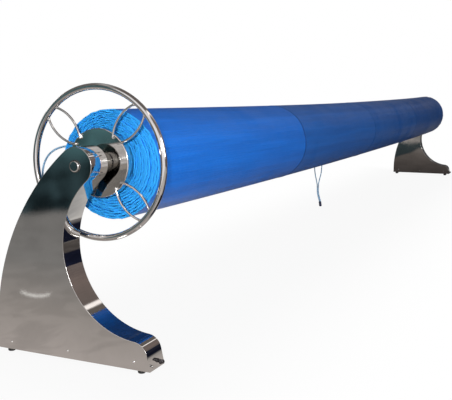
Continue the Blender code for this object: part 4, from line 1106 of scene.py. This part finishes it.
def dress_cover():
    """The film with its welds, the pull cords with their eyelets and sleeves."""
    finishes = (SEAM_FILM, FAINT_SEAM_FILM, FAINT_SEAM_FILM)
    on_film = [show(seam_mesh(f"film_weld_{number}", x), finish, "roller")
               for number, (x, finish) in enumerate(zip(SEAMS, finishes), 1)]
    paths = {label: cord_path(route, end_way) for label, (route, end_way, _, _) in CORDS.items()}
    near_sleeve = show(ferrule_mesh("near_cord_sleeve", [paths["near"][-1]], NEAR_END_WAY,
                                    NEAR_SLEEVE_RADIUS), SLEEVE_VINYL, "roller", "ferrule_near")
    middle_sleeve = show(ferrule_mesh("middle_cord_sleeve", [paths["left"][-1], paths["right"][-1]],
                                      MIDDLE_END_WAY, MIDDLE_SLEEVE_RADIUS),
                         SLEEVE_VINYL, "roller", "ferrule_middle")
    for label, (route, _, length, node_name) in CORDS.items():
        path, x = paths[label], route[0][0]
        cord = show(tube(f"pull_cord_{label}", path, CORD_DIAMETER / 2, sides=16), CORD_ROPE,
                    "roller", node_name)
        eyelet = show(eyelet_mesh(f"eyelet_{label}", x), EYELET_METAL, "roller")
        patch = show(patch_mesh(f"eyelet_patch_{label}", x), PATCH_FILM, "roller")
        patch.modifiers.new("film", "SOLIDIFY").thickness = PATCH_SHEET
        on_film += [eyelet, patch]
    cover = show(cover_mesh("wound_cover_film"), COVER_FILM, "roller", "pool_cover")


# Nodes of the model that stay as they are and only need their finish
KEPT_NODES = {
    "near_base_tray": DULL_STEEL, "far_base_tray": DULL_STEEL, "near_hub_sleeve": DULL_STEEL,
    "far_hub_sleeve": DULL_STEEL, "near_tube_plug": DULL_STEEL, "drive_tube": DULL_STEEL,
    "middle_tube": TUBE_ALUMINIUM, "drive_crown": CROWN_PLASTIC,
}


def dress_kept_nodes():
    """Give each kept node its finish through its own material slots."""
    for name, finish in KEPT_NODES.items():
        for slot in frame["nodes"][name].material_slots:
            slot.material = finish


# Stage
def stage_plane(name, corners, material, only_mirrored=False):
    """A flat card of the surroundings. If it is only mirrored, glossy rays alone meet it and it is a
    painted reflection.
    """
    mesh = bpy.data.meshes.new(name)
    mesh.from_pydata(corners, [], [tuple(range(len(corners)))])
    mesh.materials.append(material)
    plane = added(name, mesh)
    if only_mirrored:
        plane.visible_camera = False
        plane.visible_diffuse = False
        plane.visible_transmission = False
        plane.visible_shadow = False


def seen_rays(tree, *kinds):
    """1 for the kinds of rays named and 0 for others."""
    rays = node(tree, "ShaderNodeLightPath").outputs
    seen = rays[kinds[0]]
    for kind in kinds[1:]:
        seen = calc(tree, "MAXIMUM", seen, rays[kind])
    return seen


def floor_finish():
    """Pale floor that the camera sees as white, with the object's shadow on it.

    The camera sees pure white at a distance from the reel and a little of the shade under it.
    """
    material, tree, sockets, place = new_finish("pale_floor")
    sockets["Base Color"].default_value = (*FLOOR_COLOUR, 1.0)
    sockets["Roughness"].default_value = FLOOR_ROUGHNESS
    white = node(tree, "ShaderNodeEmission", None, {"Color": (1, 1, 1, 1), "Strength": 1.0})
    seen = seen_rays(tree, "Is Camera Ray", "Is Glossy Ray")
    parts = node(tree, "ShaderNodeSeparateXYZ", None, {"Vector": place}).outputs
    beyond = calc(tree, "SUBTRACT", calc(tree, "ABSOLUTE", parts["X"]), SHADED_HALF_LENGTH)
    away = calc(tree, "MAXIMUM", calc(tree, "ABSOLUTE", parts["Y"]), beyond)
    whiter = value_range(tree, away, SHADED_WHITE, 1.0, *SHADE_FADE, "SMOOTHSTEP")
    mixed = node(tree, "ShaderNodeMixShader", None, {
        0: calc(tree, "MULTIPLY", seen, whiter), 1: tree.nodes["Principled BSDF"].outputs[0],
        2: white.outputs[0]})
    tree.links.new(mixed.outputs[0], tree.nodes["Material Output"].inputs["Surface"])
    return material


def card_finish(name, axis, stops, mottling):
    """A glowing card that paints a reflection into the polished steel: its colour changes along one
    direction.

    Stops are (place, colour) along that direction, in metres. Mottling is the share of its
    light that large dark patches take away.
    """
    material, tree, _, place = new_finish(name)
    tree.nodes.remove(tree.nodes["Principled BSDF"])
    parts = node(tree, "ShaderNodeSeparateXYZ", None, {"Vector": place}).outputs
    low, high = stops[0][0], stops[-1][0]
    shares = [((at - low) / (high - low), colour) for at, colour in stops]
    share = value_range(tree, parts[axis], 0.0, 1.0, low, high)
    patches = noise(tree, place, 4.5, 3.0, 0.6, 0.6)
    glow = node(tree, "ShaderNodeEmission", None, {
        "Color": colour_stops(tree, share, shares),
        "Strength": value_range(tree, patches, 1.0 - mottling, 1.0, 0.42, 0.56, "SMOOTHSTEP")})
    tree.links.new(glow.outputs[0], tree.nodes["Material Output"].inputs["Surface"])
    return material


# Painted reflections: glowing cards round the object, set like the floor, walls and ceiling of a room,
# that paint what the polished steel mirrors. Each card is (corners, the direction that its colour changes
# along, its colours at places along that direction, and its mottling)
HALL = HALL_NEAR, HALL_END, HALL_FRONT, HALL_BACK = -6.77, 16.0, -7.0, 9.0
HALL_TOP = 4.2
MIRRORED_FLOOR, ON_FLOOR, GLINT_HEIGHT = 0.0006, 0.0012, 0.0020
UNDER_CEILING = HALL_TOP - 0.01
# Colours of the painted reflections, by height on the walls and by place on the floor and ceiling
TEAL_WALL = [(0.0, (0.040, 0.070, 0.082)), (0.42, (0.046, 0.086, 0.098)), (0.60, (0.095, 0.215, 0.235)),
             (1.6, (0.12, 0.25, 0.27)), (HALL_TOP, (0.25, 0.24, 0.23))]
PALE_WALL = [(0.0, (0.10, 0.09, 0.09)), (1.5, (0.32, 0.30, 0.29)), (HALL_TOP, (0.60, 0.57, 0.55))]
END_WALL = [(0.0, (0.05, 0.052, 0.06)), (2.2, (0.08, 0.08, 0.085)), (HALL_TOP, (0.36, 0.35, 0.34))]
BROWN_WALL = [(0.0, (0.10, 0.085, 0.085)), (1.0, (0.22, 0.18, 0.17)), (HALL_TOP, (0.27, 0.21, 0.19))]
FLOOR_TONES = [(-6.8, (0.27, 0.262, 0.255)), (-5.2, (0.30, 0.292, 0.285)), (-4.3, (0.46, 0.42, 0.395)),
               (-3.75, (0.62, 0.56, 0.53)), (-3.3, (0.38, 0.36, 0.34)), (-2.85, (0.56, 0.55, 0.54)),
               (-2.7, (0.88, 0.85, 0.82)), (-2.4, (0.88, 0.85, 0.82)), (-1.9, (0.36, 0.33, 0.31)),
               (0.2, (0.16, 0.14, 0.13)), (3.9, (0.06, 0.052, 0.05)), (4.3, (0.22, 0.21, 0.205)),
               (7.0, (0.32, 0.31, 0.30)), (9.0, (0.10, 0.095, 0.09))]
# The bright band in the ceiling's colours is a painted lamp strip, which gives the chrome its white
# highlights
CEILING_TONES = [(-7.0, (0.27, 0.21, 0.19)), (-2.60, (0.22, 0.18, 0.165)), (-2.42, (1.7, 1.6, 1.55)),
                 (-2.12, (1.7, 1.6, 1.55)), (-1.98, (0.19, 0.165, 0.15)), (0.6, (0.17, 0.15, 0.14)),
                 (1.4, (0.55, 0.53, 0.52)), (2.2, (0.20, 0.18, 0.17)), (9.0, (0.16, 0.15, 0.16))]


def wall(a, b, top=HALL_TOP):
    """Corners of an upright card on the line from a to b."""
    return [(*a, 0.0), (*b, 0.0), (*b, top), (*a, top)]


def level(x0, x1, y0, y1, z=ON_FLOOR):
    """Corners of a level card."""
    return [(x0, y0, z), (x1, y0, z), (x1, y1, z), (x0, y1, z)]


NAVY, POOL, PAINTED_GLINT_COLOUR = (0.010, 0.012, 0.026), (0.050, 0.072, 0.080), (0.95, 0.93, 0.90)
BRIGHT_SIDE_X = HALL_NEAR + 0.01
HALL_CARDS = {
    "floor": (level(*HALL, MIRRORED_FLOOR), "X", FLOOR_TONES, 0.12),
    "ceiling": (level(*HALL, HALL_TOP), "Y", CEILING_TONES, 0.1),
    "near_wall": (wall((HALL_NEAR, HALL_FRONT), (HALL_NEAR, HALL_BACK)), "Z", TEAL_WALL, 0.75),
    "front_wall": (wall((HALL_NEAR, HALL_FRONT), (HALL_END, HALL_FRONT)), "Z", BROWN_WALL, 0.3),
    "back_wall": (wall((HALL_NEAR, HALL_BACK), (HALL_END, HALL_BACK)), "Z", PALE_WALL, 0.3),
    "end_wall": (wall((HALL_END, HALL_FRONT), (HALL_END, HALL_BACK)), "Z", END_WALL, 0.3),
    # The pool, bench, drain, step and banner cards are painted reflections that lay dark and coloured
    # bands on the steel
    "pool": (level(-3.5, 3.6, 0.8, HALL_BACK), "X",
             [(-3.5, POOL), (3.6, (0.038, 0.050, 0.055))], 0.2),
    "low_bench": (wall((-3.4, -1.15), (-0.8, -1.15), 0.52), "Z",
                  [(0.0, (0.16, 0.14, 0.13)), (0.22, (0.12, 0.105, 0.10)), (0.25, NAVY),
                   (0.52, (0.016, 0.02, 0.045))], 0.3),
    "dark_drain": (level(-3.9, -1.5, -1.14, -0.47), "Y",
                   [(-1.14, NAVY), (-0.57, NAVY), (-0.47, (0.33, 0.31, 0.30))], 0.1),
    "dark_step": (wall((-3.4, -1.14), (-2.35, -1.14), 0.52), "Z",
                  [(0.0, NAVY), (0.10, (0.024, 0.026, 0.04)), (0.34, (0.016, 0.02, 0.045)),
                   (0.38, (0.18, 0.155, 0.145)), (0.52, (0.20, 0.17, 0.16))], 0.3),
    # A small glowing patch on the floor: a painted highlight that the leg's outer face mirrors as a
    # crescent
    "painted_glint": ([(x, y, GLINT_HEIGHT) for x, y in (
        (-4.551, 0.903), (-4.515, 0.828), (-4.513, 0.775), (-4.539, 0.745), (-4.591, 0.74),
        (-4.542, 0.715), (-4.494, 0.715), (-4.468, 0.745), (-4.471, 0.798), (-4.503, 0.863))],
                  "X", [(-6.8, PAINTED_GLINT_COLOUR), (-3.8, PAINTED_GLINT_COLOUR)], 0.0),
    # Bright cards, the side one brighter than white: painted light that the disc, the collar and the
    # leg's toe mirror
    "bright_side": (wall((BRIGHT_SIDE_X, HALL_FRONT), (BRIGHT_SIDE_X, 1.7)), "Y",
                    [(HALL_FRONT, (1.25, 1.20, 1.21)), (1.2, (1.25, 1.20, 1.21)),
                     (1.7, (0.22, 0.20, 0.20))], 0.35),
    "bright_floor": (level(HALL_NEAR, -4.0, HALL_FRONT, -0.5), "Y",
                     [(HALL_FRONT, (0.62, 0.57, 0.54)), (-0.5, (0.70, 0.64, 0.60))], 0.2),
    "blue_banner": (level(2.6, 7.0, 1.9, 6.0, UNDER_CEILING), "X",
                    [(2.6, (0.012, 0.050, 0.18)), (7.0, (0.010, 0.035, 0.13))], 0.2),
}


def build_hall():
    """The glowing cards round the object, which paint the steel's reflections. Only mirrored rays meet
    them.
    """
    for name, (corners, axis, tones, mottling) in HALL_CARDS.items():
        finish = card_finish("painted_reflection_" + name, axis, tones, mottling)
        stage_plane("painted_reflection_" + name, corners, finish, True)


def area_light(name, place, aim, size, power):
    """A round lamp that points from its place to its aim."""
    lamp = bpy.data.lights.new(name, "AREA")
    lamp.shape = "DISK"
    lamp.size = size
    lamp.energy = power
    light = added(name, lamp)
    light.location = place
    light.rotation_euler = (Vector(aim) - Vector(place)).to_track_quat("-Z", "Y").to_euler()


def build_stage():
    """Floor, the painted reflections of a hall, lamps, and a sky that is brighter to the eye than as a
    light.
    """
    corners = level(-FLOOR_REACH, FLOOR_REACH, -FLOOR_REACH, FLOOR_REACH, 0.0)
    stage_plane("pale_floor", corners, floor_finish())
    build_hall()
    for name, lamp in LAMPS.items():
        area_light(name, *lamp)
    world = bpy.data.worlds.new("studio")
    world.use_nodes = True
    bpy.context.scene.world = world
    tree = world.node_tree
    seen = seen_rays(tree, "Is Camera Ray", "Is Glossy Ray", "Is Transmission Ray")
    background = tree.nodes["Background"]
    background.inputs["Color"].default_value = (1, 1, 1, 1)
    tree.links.new(value_range(tree, seen, SKY_LEVEL, 1.0), background.inputs["Strength"])


def build_camera():
    """The photograph's view, with the camera's directions worked out from its three angles."""
    ahead = Vector((math.cos(CAMERA_PITCH) * math.cos(CAMERA_YAW),
                    math.cos(CAMERA_PITCH) * math.sin(CAMERA_YAW), -math.sin(CAMERA_PITCH)))
    right = Vector((math.sin(CAMERA_YAW), -math.cos(CAMERA_YAW), 0.0))
    up = right.cross(ahead)
    right = right * math.cos(CAMERA_ROLL) + up * math.sin(CAMERA_ROLL)
    up = right.cross(ahead)
    lens = bpy.data.cameras.new("camera")
    lens.sensor_fit = "HORIZONTAL"
    lens.sensor_width = CAMERA_SENSOR
    lens.lens = CAMERA_LENS
    lens.clip_start, lens.clip_end = 0.05, 200.0
    camera = added("camera", lens)
    turn = Matrix((right, up, -ahead)).transposed().to_4x4()
    camera.matrix_world = Matrix.Translation(CAMERA_PLACE) @ turn
    bpy.context.scene.camera = camera


build_camera()
dress_cover()
dress_leg("near", NEAR_LEG[0].x, ("outer", "inner"))
dress_leg("far", FAR_LEG[0].x, ("inner", "outer"))
dress_wheel()
dress_hub()
dress_kept_nodes()
build_stage()
bpy.context.scene.view_settings.view_transform = "Standard"
